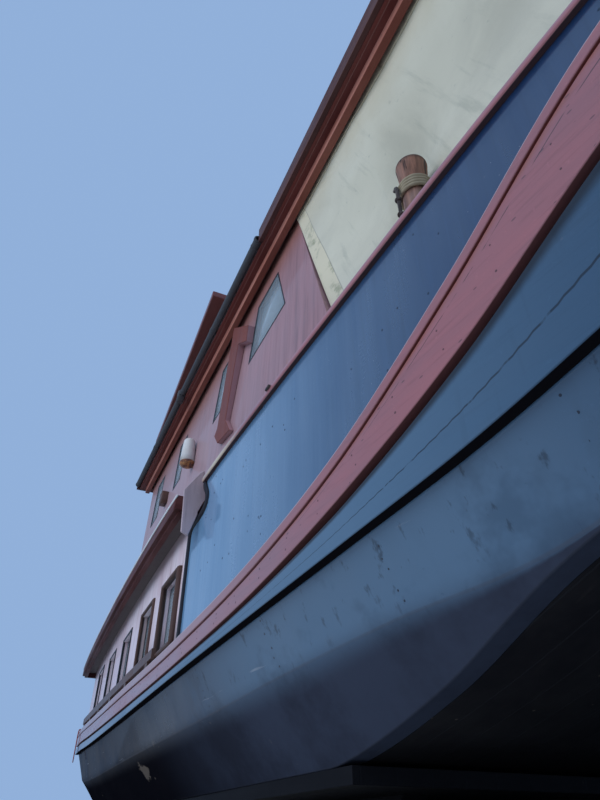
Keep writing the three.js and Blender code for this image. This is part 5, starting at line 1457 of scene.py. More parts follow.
class HOUSEBOAT_OT_hull(bpy.types.Operator):
    """Plank the hull's sides and bottom, and lay the strakes, wale, stem, keels and transom"""
    bl_idname = "houseboat.hull"
    bl_label = "Hull"

    def execute(self, context):
        timber = context.scene.houseboat_timber
        both_sides("hull_planking", hull_side_mesh(timber.ease), finish("hull_blue"),
                   "hull_side")
        bottom = link("bottom_planking", bottom_mesh(timber.ease), finish("bottom_black"),
                      replaces=("hull_bottom",))
        flat_faces(bottom)
        both_sides("strakes", strakes_mesh(timber.ease * 0.8), finish("strake_maroon"),
                   "rubbing_strakes")
        both_sides("wale_band", wale_mesh(timber.ease * 0.8), finish("wale_blue"), "wale")
        eased("transom", finish("bulwark_blue"), 0.006)
        eased("stem_post", finish("roof_red"), 0.008)
        eased("bottom_and_keels", finish("bottom_black"), 0.008)
        return {"FINISHED"}


# Bulwark


def scroll_curve(points):
    """Three cubic curves end to end: each runs between two of the points and is pulled by the two between."""
    curves = [bezier(*points[k:k + 4], 20) for k in (0, 3, 6)]
    return np.vstack([curves[0], curves[1][1:], curves[2][1:]])


def scroll_line():
    """The bulwark's scrolled after end in side view, from the rail down and aft."""
    rail = float(hull_at(RAIL_END_X)["rail"])
    return scroll_curve([
        (RAIL_END_X, rail - RAIL_HIGH), (RAIL_END_X, rail - 0.120), (0.265, rail - 0.170), (0.255, 2.130),
        (0.245, 2.060), (0.110, 2.062), (0.030, 2.061), (-0.060, 2.060), (-0.120, 2.057),
        (BULWARK_END_X, 2.005)])


def moulding_line():
    """The end moulding's forward edge, beside the scroll."""
    rail = float(hull_at(RAIL_END_X)["rail"])
    return scroll_curve([
        (0.229, rail - RAIL_HIGH), (0.245, rail - 0.100), (0.322, rail - 0.160), (0.318, 2.130),
        (0.308, 2.020), (0.200, 2.016), (0.030, 2.008), (-0.030, 2.004), (-0.066, 2.000),
        (BULWARK_END_X + 0.060, 1.945)])


def panel_point(x, z, inset):
    """A point of the starboard bulwark, from its place in side view and its depth from the strakes' line."""
    row = hull_at(x)
    return np.stack([x, -(row["half"] - row["ny"] * inset), z], -1)


def bulwark_mesh():
    """The bulwark's panel: a patch of rows from a spine to the scrolled edge, and a band on to the bow.

    The spine goes along the deck from the panel's end and then up to the rail, and its bend faces the throat.
    """
    join = 0.600
    scroll = scroll_line()[::-1]
    throat = len(scroll) - 20
    foot = [BULWARK_END_X, float(hull_at(BULWARK_END_X)["top"]) + GAP]
    corner = [join, float(hull_at(join)["top"]) + GAP]
    head = [join, float(hull_at(join)["rail"]) - RAIL_HIGH - GAP]
    rail_x = np.linspace(RAIL_END_X, join, 14)[1:]
    under_rail = np.column_stack([rail_x, hull_at(rail_x)["rail"] - RAIL_HIGH])
    aft = np.linspace(foot, scroll[0] - [0, GAP], 20)[:-1]
    before = np.vstack([aft, scroll[:throat] - [0, GAP]])
    after = np.vstack([scroll[throat:], under_rail]) - [0, GAP]

    def spine(edge, start, end):
        share = lengths_along(edge)[:, None]
        return np.asarray(start) + (np.asarray(end) - start) * share / share[-1]

    edge = np.vstack([before, after])
    root = np.vstack([spine(before, foot, corner), spine(after, corner, head)])
    up = np.linspace(0, 1, 16)[None, :, None]
    patch = root[:, None] * (1 - up) + edge[:, None] * up
    x = np.linspace(join, 7.150, 190)
    row = hull_at(x)
    low = np.column_stack([x, row["top"] + GAP])[:, None]
    high = np.column_stack([x, row["rail"] - RAIL_HIGH - GAP])[:, None]
    box = [np.asarray(p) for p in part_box("bulwark_starboard")]
    meshes = []
    for view in (patch, low * (1 - up) + high * up):
        outer = panel_point(view[..., 0], view[..., 1], STRAKE_OUT)
        inner = panel_point(view[..., 0], view[..., 1], STRAKE_OUT + BULWARK)[:, ::-1]
        grid = np.clip(np.concatenate([outer, inner], 1), *box)
        meshes.append(closed_mesh("bulwark", grid))
    mesh = joined("bulwark", meshes)
    mesh.set_sharp_from_angle(angle=0.6)
    return mesh


def end_moulding_mesh(proud):
    """A board along the scroll and down the panel's end, hollowed to nothing at both edges.

    Its height over the panel at the share w of its width is proud * (1 - |2 w - 1| ^ 6).
    """
    foot_z = float(hull_at(BULWARK_END_X)["top"]) + 0.0006

    def drawn_down(line):
        x, z = line[-1]
        return np.vstack([line, np.column_stack([np.full(30, x), np.linspace(z, foot_z, 31)[1:]])])

    edge, inner = drawn_down(scroll_line()), drawn_down(moulding_line())
    w = np.linspace(0, 1, 11)
    height = proud * (1 - np.abs(2 * w - 1)**6)
    view = edge[:, None] + (inner - edge)[:, None] * w[None, :, None]
    view[..., 1] = np.minimum(view[..., 1], float(hull_at(RAIL_END_X)["rail"]) - RAIL_HIGH - 0.001)
    face = panel_point(view[..., 0], view[..., 1], STRAKE_OUT - 0.0004 - height[None, :])
    back = panel_point(view[..., 0], view[..., 1], STRAKE_OUT + 0.004)[:, ::-1]
    return turned_out(grid_mesh("end_moulding", np.concatenate([face, back], 1), ring=True, caps=True))


def cap_rail_mesh(ease):
    """The rail: a bullnosed plank on the bulwark, narrower where the saloon's side stands in its way."""
    def inner(row):
        return np.where(row["x"] < 2.115, np.minimum(0.137, row["half"] - 1.841), 0.137)

    corners = [
        (inner, lambda row: row["rail"] - RAIL_HIGH, 0, None),
        (0.023, lambda row: row["rail"] - RAIL_HIGH, 0, None),
        (0.023, lambda row: row["rail"], 0, None),
        (inner, lambda row: row["rail"], 0, None),
    ]
    grid, uv = nosed(RAIL_END_X + 0.001, 7.150, 240, 0.022, lambda x: planked_ring(x, corners, ease))
    low, high = (np.asarray(p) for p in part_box("cap_rail_starboard"))
    return turned_out(grid_mesh("cap_rail", np.clip(grid, low, high), ring=True, caps=True, uv=uv))


def bung_mesh(count, radius):
    """Plugs strewn over the bulwark in loose upright pairs, closer together towards the after end."""
    rng = np.random.default_rng(41)
    x = 0.25 + 6.3 * rng.random(count)**1.7
    x = np.round(x / 0.145) * 0.145 + rng.normal(0, 0.022, count)
    row = hull_at(x)
    share = np.round(rng.random(count) * 9) / 9 * 0.9 + 0.05 + rng.normal(0, 0.018, count)
    share = np.clip(share, 0.03, 0.95)
    low, high = row["top"] + 0.02, row["rail"] - RAIL_HIGH - 0.02
    z = low + (high - low) * share
    keep = high - low > 0.10
    place = panel_point(x, z, STRAKE_OUT)[keep]
    outward = np.stack([row["nx"], -row["ny"], np.zeros(count)], 1)[keep]
    return dots_mesh("bungs", place, outward, radius * rng.uniform(0.75, 1.15, keep.sum()))


def strake_bung_mesh(radius):
    """Plugs along the broad strake, two to a fastening."""
    rng = np.random.default_rng(7)
    fastenings = np.arange(-6.6, 6.9, 0.31)
    x = np.repeat(fastenings, 2) + rng.normal(0, 0.012, 88)[:2 * len(fastenings)]
    row = hull_at(x)
    share = np.tile([0.30, 0.72], len(x) // 2) + rng.normal(0, 0.03, len(x))
    z = row["low"] + (row["top"] - NARROW_HIGH - 0.008 - row["low"]) * share
    place = side_point(row, 0.0, z)
    outward = np.stack([row["nx"], -row["ny"], np.zeros(len(x))], 1)
    return dots_mesh("strake_bungs", place, outward, radius * rng.uniform(0.7, 1.05, len(x)), 0.0006)


def plank_bung_mesh(radius):
    """Plugs of the topside planking, in upright lines at the frames."""
    rng = np.random.default_rng(19)
    frames = np.array([-5.2, -4.1, -3.0, -1.9, -0.8, 0.35, 1.35, 2.40, 3.35])
    x = np.repeat(frames, 5) + rng.normal(0, 0.010, 45)
    row = hull_at(x)
    share = np.tile(np.linspace(0.12, 0.88, 5), len(frames)) + rng.normal(0, 0.03, len(x))
    foot = np.stack([row["x"] - row["pull"], -row["chine_half"], row["chine_z"]], -1)
    head = side_point(row, STRAKE_OUT + 0.004, row["wale"], row["pull"] * WALE_PULL)
    place = foot + (head - foot) * share[:, None]
    lean = head - foot
    along = np.stack([row["ny"], row["nx"], np.zeros(len(x))], 1)
    outward = np.cross(lean, along)
    outward *= np.sign(-outward[:, 1])[:, None]
    return dots_mesh("plank_bungs", place, outward, radius * rng.uniform(0.7, 1.0, len(x)), 0.0006)


class HOUSEBOAT_OT_bulwark(bpy.types.Operator):
    """Build the bulwarks with their scrolled ends, the cap rails and the plugs over the fastenings"""
    bl_idname = "houseboat.bulwark"
    bl_label = "Bulwarks and rails"

    def execute(self, context):
        timber = context.scene.houseboat_timber
        both_sides("bulwark_panel", bulwark_mesh(), finish("bulwark_blue"), "bulwark")
        both_sides("bulwark_end", end_moulding_mesh(timber.moulding), finish("end_board"),
                   flat=False)
        both_sides("rail_cap", cap_rail_mesh(timber.ease * 1.5), finish("rail_maroon"),
                   "cap_rail")
        both_sides("bulwark_bungs", bung_mesh(timber.bungs, timber.bung), finish("bung_blue"),
                   flat=False)
        both_sides("strake_bungs", strake_bung_mesh(timber.bung * 0.9), finish("bung_maroon"),
                   flat=False)
        both_sides("plank_bungs", plank_bung_mesh(timber.bung), finish("bung_blue"), flat=False)
        return {"FINISHED"}


# Roofs


def corner_marks(count, first):
    """V for each column of a rounded section: its corner's number, and a little to each side."""
    return (first + np.arange(count)[:, None] + np.array([-0.04, 0, 0.04])[None, :]).ravel()


def eave_ring(aft, fore, half_at, profile, ease, opening=None, first=0.0):
    """A stepped section carried round a roof's edge, with mitred corners.

    profile is (distance in from the edge, height). A point at the distance d in from the edge lies at
    half_at(x) - d on a side and at an end's x less d. opening leaves the fore end out inside that half-width.
    """
    side = np.linspace(0, 1, 90)
    end = np.linspace(-1, 1, 26)
    columns = []
    for d, z in profile:
        x = aft + d + (fore - aft - 2 * d) * side
        y = half_at(x) - d
        fore_half, aft_half = y[-1], y[0]
        star = np.column_stack([x, -y])[::-1]
        aft_end = np.column_stack([np.full(26, x[0]), end * aft_half])[1:-1]
        port = np.column_stack([x, y])
        if opening:
            plan = np.vstack([[[x[-1], -opening]], star, aft_end, port, [[x[-1], opening]]])
        else:
            fore_end = np.column_stack([np.full(26, x[-1]), end[::-1] * fore_half])[1:-1]
            plan = np.vstack([star, aft_end, port, fore_end])
        columns.append(np.column_stack([plan, np.full(len(plan), z)]))
    section = np.stack(columns, 1)
    grid = rounded(section, ease)
    return grid, spread_uv(grid, corner_marks(len(profile), first))


AFT_EAVE = [(0.084, 2.1297), (0.084, 2.065), (0.039, 2.065), (0.039, 2.090), (0.006, 2.090), (0.006, 2.205),
            (0.0397, 2.205), (0.0397, 2.1297)]
UNDER_EAVE = [(0.116, 4.2095), (0.116, 4.165), (0.070, 4.165), (0.070, 4.1665), (0.064, 4.1665),
              (0.064, 4.165), (0.0395, 4.165), (0.0395, 4.2095)]


def outer_boards():
    """The eave's outer board: from the gutter's end round the bow's end and back, and across aft."""
    low, high, ease = 4.165, 4.330, 0.004
    section = ((0.0392, high), (0.0, high), (0.0, low), (0.0392, low))
    rows = []
    x = np.linspace(BOARD_FROM_X, MAIN_ROOF_FORE_X, 90)
    for share, at in zip(np.linspace(0, 1, 90), x):
        rows.append([(at - d * share, -(float(main_roof_half(at - d * share)) - d), z) for d, z in section])
    side = np.array(rows)
    port = side[::-1] * np.array([1, -1, 1])
    half = float(main_roof_half(MAIN_ROOF_AFT_X))
    aft = np.array([[(MAIN_ROOF_AFT_X + d, s * half, z) for d, z in section] for s in (-1, -0.5, 0, 0.5, 1)])
    boards = []
    for section in (np.concatenate([side, port]), aft):
        grid = rounded(section, ease)
        uv = spread_uv(grid, corner_marks(4, 20.0))
        boards.append(turned_out(grid_mesh("outer_board", grid, ring=True, caps=True, uv=uv)))
    return boards


def deep_board_mesh():
    """The board that hangs inside the eave along the starboard side."""
    near, far, foot = DEEP_BOARD
    x = np.linspace(MAIN_ROOF_AFT_X + near, MAIN_ROOF_FORE_X - near, 90)
    half = main_roof_half(x)
    section = np.stack([np.stack([x, -(half - d), np.full_like(x, z)], 1)
                        for d, z in ((near, 4.2095), (near, foot), (far, foot), (far, 4.2095))], 1)
    grid = rounded(section, 0.003)
    return closed_mesh("deep_board", grid, spread_uv(grid, corner_marks(4, 10.0)))


# The gutter pipe: its two ends, how far its middle is inside the roof's edge, its height and its radius
GUTTER = {"aft": -3.725, "fore": 1.120, "in": 0.0054, "z": 4.220, "r": 0.0338}
JOINT_X = -1.350


def gutter_y(x):
    """The middle of the starboard gutter pipe."""
    return -(main_roof_half(x) - GUTTER["in"])


def gutter_mesh():
    """The round gutter pipe beside the eave, drawn in a little at its two ends."""
    x = np.linspace(GUTTER["aft"], GUTTER["fore"], 200)
    path = np.stack([x, gutter_y(x), np.full_like(x, GUTTER["z"])], 1)
    radius = np.full(len(x), GUTTER["r"])
    radius[[0, -1]] = 0.026
    return tube_mesh("gutter", path, radius, 28)


# The sleeves on the gutter pipe: middle along the boat, width and growth in radius
SLEEVES = ((1.105, 0.030, 0.0036), (1.020, 0.016, 0.0030), (-0.150, 0.045, 0.0030), (-1.42, 0.05, 0.0042),
           (-1.28, 0.05, 0.0042), (-2.60, 0.045, 0.0030), (-3.708, 0.030, 0.0036))


def gutter_fittings_mesh():
    """Sleeves, end caps and the clamped joint of the gutter pipe."""
    meshes = []
    for x, wide, grow in SLEEVES:
        ends = (x - wide / 2, x - wide / 2 + 0.004, x + wide / 2 - 0.004, x + wide / 2)
        path = np.array([(end, float(gutter_y(x)), GUTTER["z"]) for end in ends])
        radius = np.array([-0.003, 0.0, 0.0, -0.003]) + GUTTER["r"] + grow
        meshes.append(tube_mesh("sleeve", path, radius, 28))
    x, y = JOINT_X, float(gutter_y(JOINT_X))
    meshes.append(block_mesh("joint", (x - 0.045, y - 0.044, 4.128), (x + 0.045, y + 0.026, 4.258), 0.010))
    meshes.append(block_mesh("strap", (x - 0.015, y - 0.046, 4.126), (x + 0.015, y + 0.028, 4.260), 0.004))
    return joined("gutter_fittings", meshes)


class HOUSEBOAT_OT_roofs(bpy.types.Operator):
    """Build both roofs with their stepped eaves, the wheelhouse, hatch, gutters and forward arch"""
    bl_idname = "houseboat.roofs"
    bl_label = "Roofs"

    def execute(self, context):
        timber = context.scene.houseboat_timber
        grid, uv = eave_ring(MAIN_ROOF_AFT_X, MAIN_ROOF_FORE_X, main_roof_half, UNDER_EAVE, 0.0015)
        deep = deep_board_mesh()
        under = turned_out(grid_mesh("under_eave", grid, ring=True, loop=True, uv=uv))
        parts = [under, deep, port_copy(deep)]
        whole = joined("main_eave", parts + outer_boards())
        flat_faces(link("main_eave", whole, finish("cornice"),
                        replaces=("main_roof_edge",)))
        grid, uv = eave_ring(AFT_ROOF_BACK_X, AFT_ROOF_FORE_X, aft_roof_half, AFT_EAVE, timber.ease * 0.7,
                             opening=1.890, first=30.0)
        ring = turned_out(grid_mesh("after_eave", grid, ring=True, caps=True, uv=uv))
        flat_faces(link("after_eave", ring, finish("cornice"), replaces=("aft_roof_edge",)))
        eased("main_roof", finish("roof_cover"), 0.003)
        eased("aft_cabin_roof", finish("roof_cover"), 0.003)
        eased("wheelhouse_sides", finish("saloon_red"), 0.005)
        eased("wheelhouse_roof", finish("roof_red"), 0.012, 3)
        eased("roof_hatch", finish("roof_red"), 0.006)
        eased("roof_arch", finish("frame_red"), 0.006)
        plastic = finish("gutter_plastic")
        both_sides("gutter_pipe", gutter_mesh(), plastic, "gutter", flat=False)
        both_sides("gutter_joints", gutter_fittings_mesh(), plastic, flat=False)
        return {"FINISHED"}


# Windows


def loop_frame_mesh(name, corners, profile, place):
    """A frame round a window: a small closed profile carried round its corners with mitres.

    corners are (a, b) in the wall's plane. A profile point is (distance out from the opening, height off the
    wall), and place(a, b, h) puts it in the frame.
    """
    corners = np.asarray(corners, float)
    on = np.roll(corners, -1, axis=0) - corners
    on /= np.linalg.norm(on, axis=1)[:, None]
    normal = np.column_stack([on[:, 1], -on[:, 0]])
    area = np.sum(corners[:, 0] * np.roll(corners[:, 1], -1) - np.roll(corners[:, 0], -1) * corners[:, 1])
    normal *= np.sign(area)
    before = np.roll(normal, 1, axis=0)
    mitre = before + normal
    mitre /= np.maximum(np.sum(mitre * normal, axis=1), 0.3)[:, None]
    rows = []
    steps = 10
    for k in range(len(corners)):
        ahead = (k + 1) % len(corners)
        share = np.arange(steps)[:, None] / steps
        at = corners[k] * (1 - share) + corners[ahead] * share
        out = mitre[k] * (1 - share) + mitre[ahead] * share
        rows.append(np.stack([np.column_stack([at + out * d, np.full(steps, h)]) for d, h in profile], 1))
    flat = np.concatenate(rows)
    grid = place(flat[..., 0], flat[..., 1], flat[..., 2])
    return turned_out(grid_mesh(name, grid, ring=True, loop=True))


def bead_profile(wide, proud):
    """A softly rounded bead that laps the opening's edge and goes a little way into the opening."""
    return [(-0.004, -0.012), (-0.004, proud * 0.7), (0.0, proud), (wide * 0.6, proud),
            (wide * 0.9, proud * 0.6), (wide, 0.0003), (0.0, 0.0003)]


def on_saloon_side(a, b, h):
    """Place on the starboard side of the saloon: a is x, b is z, h is off the wall."""
    return np.stack([a, -(saloon_half(b) + h), b], -1)


def on_cabin_side(a, b, h):
    """Place on the starboard side of the after cabin."""
    row = hull_at(a)
    return np.stack([a, -(row["half"] - row["ny"] * (STRAKE_OUT - h)), b], -1)


def on_front(a, b, h):
    """Place on the saloon's raked front: a is y, b is z, h is ahead of the wall."""
    return np.stack([front_x(b) + h, a, b], -1)


def pane_mesh(corners):
    """A flush pane that nearly fills a window of the saloon's side: a closed slab a few millimetres thick."""
    corners = np.asarray(corners, float)
    small = corners + (corners.mean(0) - corners) * 0.012
    layers = [on_saloon_side(small[:, 0], small[:, 1], h) for h in (-0.006, -0.001)]
    return turned_out(grid_mesh("pane", np.stack(layers), ring=True, caps=True))


SIDE_WINDOWS = (
    ((0.520, 3.340), (1.300, 3.340), (1.095, 3.900), (0.650, 3.900)),
    ((-0.480, 3.340), (-0.130, 3.340), (-0.020, 3.900), (-0.350, 3.900)),
    ((-2.000, 3.340), (-1.700, 3.340), (-1.650, 3.900), (-1.950, 3.900)),
    ((-3.120, 3.340), (-2.780, 3.340), (-2.720, 3.900), (-3.060, 3.900)),
)
CABIN_WINDOWS = (-0.770, -1.700, -2.800, -3.900, -5.050)
FRONT_WINDOWS = (-1.560, -0.960, 0.460, 1.060)


def upright_window(a, b, wide, high):
    """The corners of an upright window, from its lower first corner."""
    return ((a, b), (a + wide, b), (a + wide, b + high), (a, b + high))


def cabin_window(aft):
    """The corners of the after cabin's window whose after edge is at that x."""
    return upright_window(aft, float(hull_at(aft)["top"]) + 0.070, 0.500, 0.545)


class HOUSEBOAT_OT_saloon(bpy.types.Operator):
    """Build the saloon: leaning sides, raked front and back, door, steps, glazing, beads and side frames"""
    bl_idname = "houseboat.saloon"
    bl_label = "Saloon"

    def execute(self, context):
        timber = context.scene.houseboat_timber
        for side in SIDES:
            eased(f"saloon_wall_{side}", finish("saloon_red"), 0.004)
            eased(f"side_door_frame_{side}", finish("side_frame"), 0.006)
        for node in ("saloon_front", "saloon_back"):
            eased(node, finish("saloon_red"), 0.004)
        eased("saloon_door", finish("frame_red"), 0.003)
        eased("saloon_floor", finish("inside_wood"), 0.003)
        eased("front_steps", finish("deck_boards"), 0.005)
        eased("glass_saloon", finish("glass"), 0.001)
        bead = bead_profile(timber.bead, 0.007)
        thin = bead_profile(0.009, 0.004)
        beads = [loop_frame_mesh("bead", window, thin, on_saloon_side) for window in SIDE_WINDOWS]
        panes = [pane_mesh(window) for window in SIDE_WINDOWS]
        both_sides("side_panes", joined("side_panes", panes), finish("glass"), flat=False)
        both_sides("side_beads", joined("side_beads", beads), finish("black_paint"),
                   flat=False)
        fronts = [loop_frame_mesh("bead", upright_window(y, 3.340, 0.500, 0.560), bead, on_front)
                  for y in FRONT_WINDOWS]
        link("front_beads", joined("front_beads", fronts), finish("black_paint"))
        return {"FINISHED"}


# The white strip's section: distance out from the after roof's edge, and depth under its top
WHITE_STRIP = ((-0.0058, 0.0245), (-0.0006, 0.022), (-0.0006, 0.002), (-0.0058, -0.0008),
               (-0.016, -0.0008), (-0.016, 0.010))


class HOUSEBOAT_OT_after_cabin(bpy.types.Operator):
    """Build the after cabin: sides, frames, bulkhead, door, white edge strip, brackets and toe rails"""
    bl_idname = "houseboat.after_cabin"
    bl_label = "After cabin"

    def execute(self, context):
        timber = context.scene.houseboat_timber
        for side in SIDES:
            eased(f"aft_cabin_wall_{side}", finish("cabin_pink"), 0.004)
            eased(f"roof_end_bracket_{side}", finish("lilac_board"), 0.006)
            eased(f"toe_rail_{side}", finish("frame_brown"), 0.005)
            eased(f"glass_aft_cabin_{side}", finish("glass"), 0.001)
        eased("aft_cabin_bulkhead", finish("cabin_pink"), 0.004)
        eased("aft_cabin_door", finish("frame_brown"), 0.004)
        eased("aft_cabin_sole", finish("inside_wood"), 0.003)
        frames = []
        for aft, share in zip(CABIN_WINDOWS[:2], (1.6, 1.0)):
            profile = bead_profile(0.024, timber.frame_proud * share)
            frames.append(loop_frame_mesh("frame", cabin_window(aft), profile, on_cabin_side))
        both_sides("cabin_frames", joined("cabin_frames", frames), finish("frame_brown"),
                   flat=False)
        beads = [loop_frame_mesh("bead", cabin_window(aft), bead_profile(0.020, 0.010), on_cabin_side)
                 for aft in CABIN_WINDOWS[2:]]
        both_sides("cabin_beads", joined("cabin_beads", beads), finish("black_paint"),
                   flat=False)
        x = np.linspace(AFT_ROOF_BACK_X + 0.01, AFT_ROOF_FORE_X - 0.002, 120)
        half = aft_roof_half(x)
        strip = np.stack([np.stack([x, -(half + d), np.full_like(x, AFT_ROOF_Z + 0.075 - h)], -1)
                          for d, h in WHITE_STRIP], 1)
        mesh = closed_mesh("white_strip", strip)
        both_sides("white_strip", mesh, finish("white_strip"), flat=False)
        return {"FINISHED"}


# Canvas


def screen_surface(u, v, fold):
    """The starboard screen at shares u from aft to forward and v from foot to head.

    It is a smooth curve through the heights of each column, then through the columns. The folds fan out from
    the upper after corner. Their depth at the angle a and distance r from it is about
    fold * 2.2 r exp(-1.1 r) sin(14 a + 2.2 sin(3.1 r) + 2.25 r), and 0 at the head and both ends.
    """
    z_table = np.array(SCREEN_Z)
    z = z_table[0] + (z_table[-1] - z_table[0]) * v
    width = np.stack([monotone(z_table, column, z[0]) for column in SCREEN_Y])
    at = np.arange(len(SCREEN_X)) / (len(SCREEN_X) - 1)
    y = np.stack([monotone(at, width[:, k], u[:, 0]) for k in range(width.shape[1])], 1)
    first = front_x(z) + 0.012
    x_rest = np.stack([monotone(at, np.array(SCREEN_X), u[:, 0])] * z.shape[1], 1)
    lean = np.clip(1 - u * (len(SCREEN_X) - 1), 0, 1)
    x = x_rest + (first - SCREEN_X[0]) * lean
    away_x, away_z = x - (front_x(z_table[-1]) + 0.012), z_table[-1] - z
    r = np.hypot(away_x, away_z)
    a = np.arctan2(away_z, away_x + 0.05)
    wave = np.sin(14 * a + 2.2 * np.sin(3.1 * r) + 9 * r * 0.25) * r * np.exp(-1.1 * r) * 2.2
    small = np.sin(31 * a + 5 * r) * np.exp(-1.6 * r) * r * 0.5
    edge = np.clip((1 - v) * 9, 0, 1) * np.clip(u * 14, 0, 1) * np.clip((1 - u) * 14, 0, 1)
    ripple = np.sin(23.0 * x + 1.5 * np.sin(4 * z)) * np.exp(-9 * (1 - v)) * 0.35
    y = y - fold * (wave + small + ripple) * edge
    return np.stack([x, -y, z], -1)


def monotone(at, value, where):
    """A smooth curve through points that never overshoots: cubic pieces with limited slopes."""
    at, value = np.asarray(at, float), np.asarray(value, float)
    slope = np.diff(value) / np.diff(at)
    before, after = slope[:-1], slope[1:]
    inner = np.where(before * after > 0, 2 * before * after / (before + after + 1e-12), 0)
    rate = np.concatenate([[slope[0]], inner, [slope[-1]]])
    k = np.clip(np.searchsorted(at, where) - 1, 0, len(at) - 2)
    h = at[k + 1] - at[k]
    t = np.clip((where - at[k]) / h, 0, 1)
    return (value[k] * (1 + 2 * t) * (1 - t)**2 + rate[k] * h * t * (1 - t)**2
            + value[k + 1] * t**2 * (3 - 2 * t) - rate[k + 1] * h * t**2 * (1 - t))


def thickened(piece, cloth):
    """Gives a cloth its thickness, half to each side."""
    solid = piece.modifiers.new("cloth", "SOLIDIFY")
    solid.thickness = cloth
    solid.offset = 0.0
    return piece


class HOUSEBOAT_OT_canvas(bpy.types.Operator):
    """Hang the canvas screens with their folds, the cream strip along the eave and its hooks"""
    bl_idname = "houseboat.canvas"
    bl_label = "Canvas screens"

    def execute(self, context):
        canvas = context.scene.houseboat_canvas
        u, v = np.meshgrid(np.linspace(0, 1, 230), np.linspace(0, 1, 120), indexing="ij")
        grid = screen_surface(u, v, canvas.fold)
        across = np.stack([lengths_along(grid[:, k]) for k in range(grid.shape[1])], 1)
        down = np.stack([lengths_along(row[::-1])[::-1] for row in grid])
        mesh = turned_out(grid_mesh("screen", grid, uv=np.stack([across, down], -1)))
        strip_rows = grid[:, -9:]
        out = np.zeros_like(strip_rows)
        out[..., 1] = -0.006
        strip_uv = np.stack([across[:, -9:], down[:, -9:]], -1)
        strip_mesh = turned_out(grid_mesh("strip", strip_rows + out, uv=strip_uv))
        run = lengths_along(grid[:, -3])
        at = np.arange(canvas.hook_pitch / 2, run[-1], canvas.hook_pitch)
        head = np.stack([np.interp(at, run, grid[:, -3, k]) for k in range(3)], 1)
        bend = np.linspace(0, 2 * np.pi, 9)
        hooks = []
        for x, y, z in head:
            path = np.stack([x + 0.003 * np.sin(bend), y - 0.010 - 0.006 * np.cos(bend),
                             z - 0.012 + 0.014 * np.sin(bend)], 1)
            hooks.append(tube_mesh("hook", path, 0.0022, 5, (1, 0, 0)))
        hook_mesh = joined("hooks", hooks)
        screens = both_sides("screen", mesh, finish("sailcloth"), "canvas_screen", flat=False)
        strips = both_sides("screen_strip", strip_mesh, finish("cream_strip"), flat=False)
        hook_pieces = both_sides("screen_hooks", hook_mesh, finish("iron"), flat=False)
        for screen, strip, hook in zip(screens, strips, hook_pieces):
            thickened(screen, canvas.cloth)
            thickened(strip, canvas.cloth)
        return {"FINISHED"}


# Decks, posts and gear


class HOUSEBOAT_OT_decks(bpy.types.Operator):
    """Finish the decks, hatches, engine room and the gear at the stern"""
    bl_idname = "houseboat.decks"
    bl_label = "Decks and stern gear"

    def execute(self, context):
        for node, name, width in (
            ("foredeck", "deck_boards", 0.004), ("foredeck_hatch", "roof_red", 0.006),
            ("aft_deck", "deck_boards", 0.004), ("engine_bulkhead", "inside_wood", 0.003),
            ("engine_block", "iron", 0.012), ("propeller", "bronze", 0.003),
            ("rudder", "roof_red", 0.006), ("rudder_gudgeons", "galvanised", 0.003),
        ):
            eased(node, finish(name), width)
        return {"FINISHED"}


# The mooring post in radius and height: a shaft that widens above the rope, and a rounded top with a rim
POST_PROFILE = (
    (0.0745, 1.6454), (0.0755, 1.66), (0.0755, 2.30), (0.0748, 2.80), (0.0748, 2.915), (0.0790, 2.97),
    (0.0850, 3.040), (0.0885, 3.068), (0.0893, 3.075), (0.0885, 3.084), (0.0865, 3.090), (0.0830, 3.0955),
    (0.0780, 3.0990), (0.040, 3.0997), (0.004, 3.0999),
)


class HOUSEBOAT_OT_posts(bpy.types.Operator):
    """Turn the mooring posts"""
    bl_idname = "houseboat.posts"
    bl_label = "Mooring posts"

    def execute(self, context):
        mesh = lathe_mesh("post", POST_PROFILE, (POST["x"], -POST["y"]), 48)
        posts = both_sides("mooring_post", mesh, finish("oak"), "samson_post", flat=False)
        for piece in posts:
            for face in piece.data.polygons[-2:]:
                face.use_smooth = False
        return {"FINISHED"}


# The lamp on the saloon's side, with profiles in radius and height over its middle, from the foot up
LAMP = {"x": -1.110, "z": 3.330, "off": 0.068}
LAMP_BODY = ((0.075, -0.110), (0.072, -0.020), (0.066, 0.090), (0.060, 0.145), (0.050, 0.158), (0.030, 0.162))
LAMP_FOOT = ((0.012, -0.170), (0.048, -0.164), (0.070, -0.150), (0.078, -0.132), (0.078, -0.116),
             (0.073, -0.110))


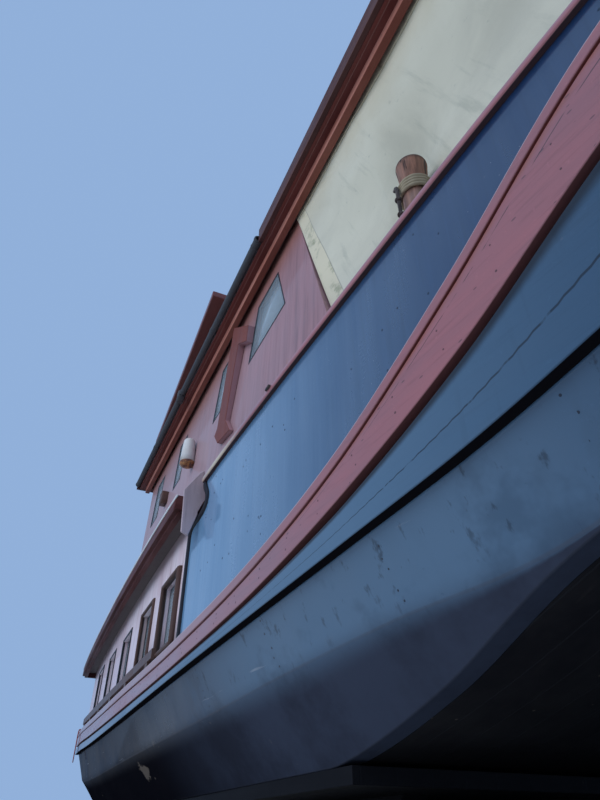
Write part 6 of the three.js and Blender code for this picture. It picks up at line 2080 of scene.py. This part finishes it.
class HOUSEBOAT_OT_trim(bpy.types.Operator):
    """Fix the two lamps on the saloon's side and the small fitting on the rail"""
    bl_idname = "houseboat.trim"
    bl_label = "Lamps and fittings"

    def execute(self, context):
        wall = -float(saloon_half(LAMP["z"]))
        for name, profile, paint in (("side_lamp", LAMP_BODY, "lamp_white"),
                                     ("side_lamp_foot", LAMP_FOOT, "lamp_amber")):
            turned = [(radius, LAMP["z"] + rise) for radius, rise in profile]
            mesh = lathe_mesh(name, turned, (LAMP["x"], wall - LAMP["off"]), 32)
            link(name, mesh, finish(paint))
        box = block_mesh("box_lamp", (-2.37, wall - 0.075, 3.29), (-2.23, wall + 0.010, 3.43), 0.010)
        link("box_lamp", box, finish("frame_brown"))
        cleat = block_mesh("cleat", (1.41, -1.985, 2.365), (1.47, -1.950, 2.378), 0.004)
        link("rail_fitting", cleat, finish("iron"))
        return {"FINISHED"}


STEPS = (HOUSEBOAT_OT_stage, HOUSEBOAT_OT_ropes, HOUSEBOAT_OT_hull, HOUSEBOAT_OT_bulwark, HOUSEBOAT_OT_roofs,
         HOUSEBOAT_OT_saloon, HOUSEBOAT_OT_after_cabin, HOUSEBOAT_OT_canvas, HOUSEBOAT_OT_decks,
         HOUSEBOAT_OT_posts,
         HOUSEBOAT_OT_trim)


class HOUSEBOAT_PT_panel(bpy.types.Panel):
    """Sizes, colours and steps of the houseboat"""
    bl_idname = "HOUSEBOAT_PT_panel"
    bl_label = "Houseboat"
    bl_space_type = "VIEW_3D"
    bl_region_type = "UI"
    bl_category = "Houseboat"

    def draw(self, context):
        for group, kind in GROUPS.items():
            box = self.layout.box()
            for name in kind.__annotations__:
                box.prop(getattr(context.scene, group), name)
        for step in STEPS:
            self.layout.operator(step.bl_idname)


def register():
    for kind in (*GROUPS.values(), *STEPS, HOUSEBOAT_PT_panel):
        bpy.utils.register_class(kind)
    for name, kind in GROUPS.items():
        setattr(bpy.types.Scene, name, bpy.props.PointerProperty(type=kind))


def unregister():
    for name in GROUPS:
        delattr(bpy.types.Scene, name)
    for kind in (HOUSEBOAT_PT_panel, *STEPS[::-1], *list(GROUPS.values())[::-1]):
        bpy.utils.unregister_class(kind)


def main():
    register()
    for step in STEPS:
        getattr(bpy.ops.houseboat, step.bl_idname.split(".")[1])()


if __name__ == "__main__":
    main()
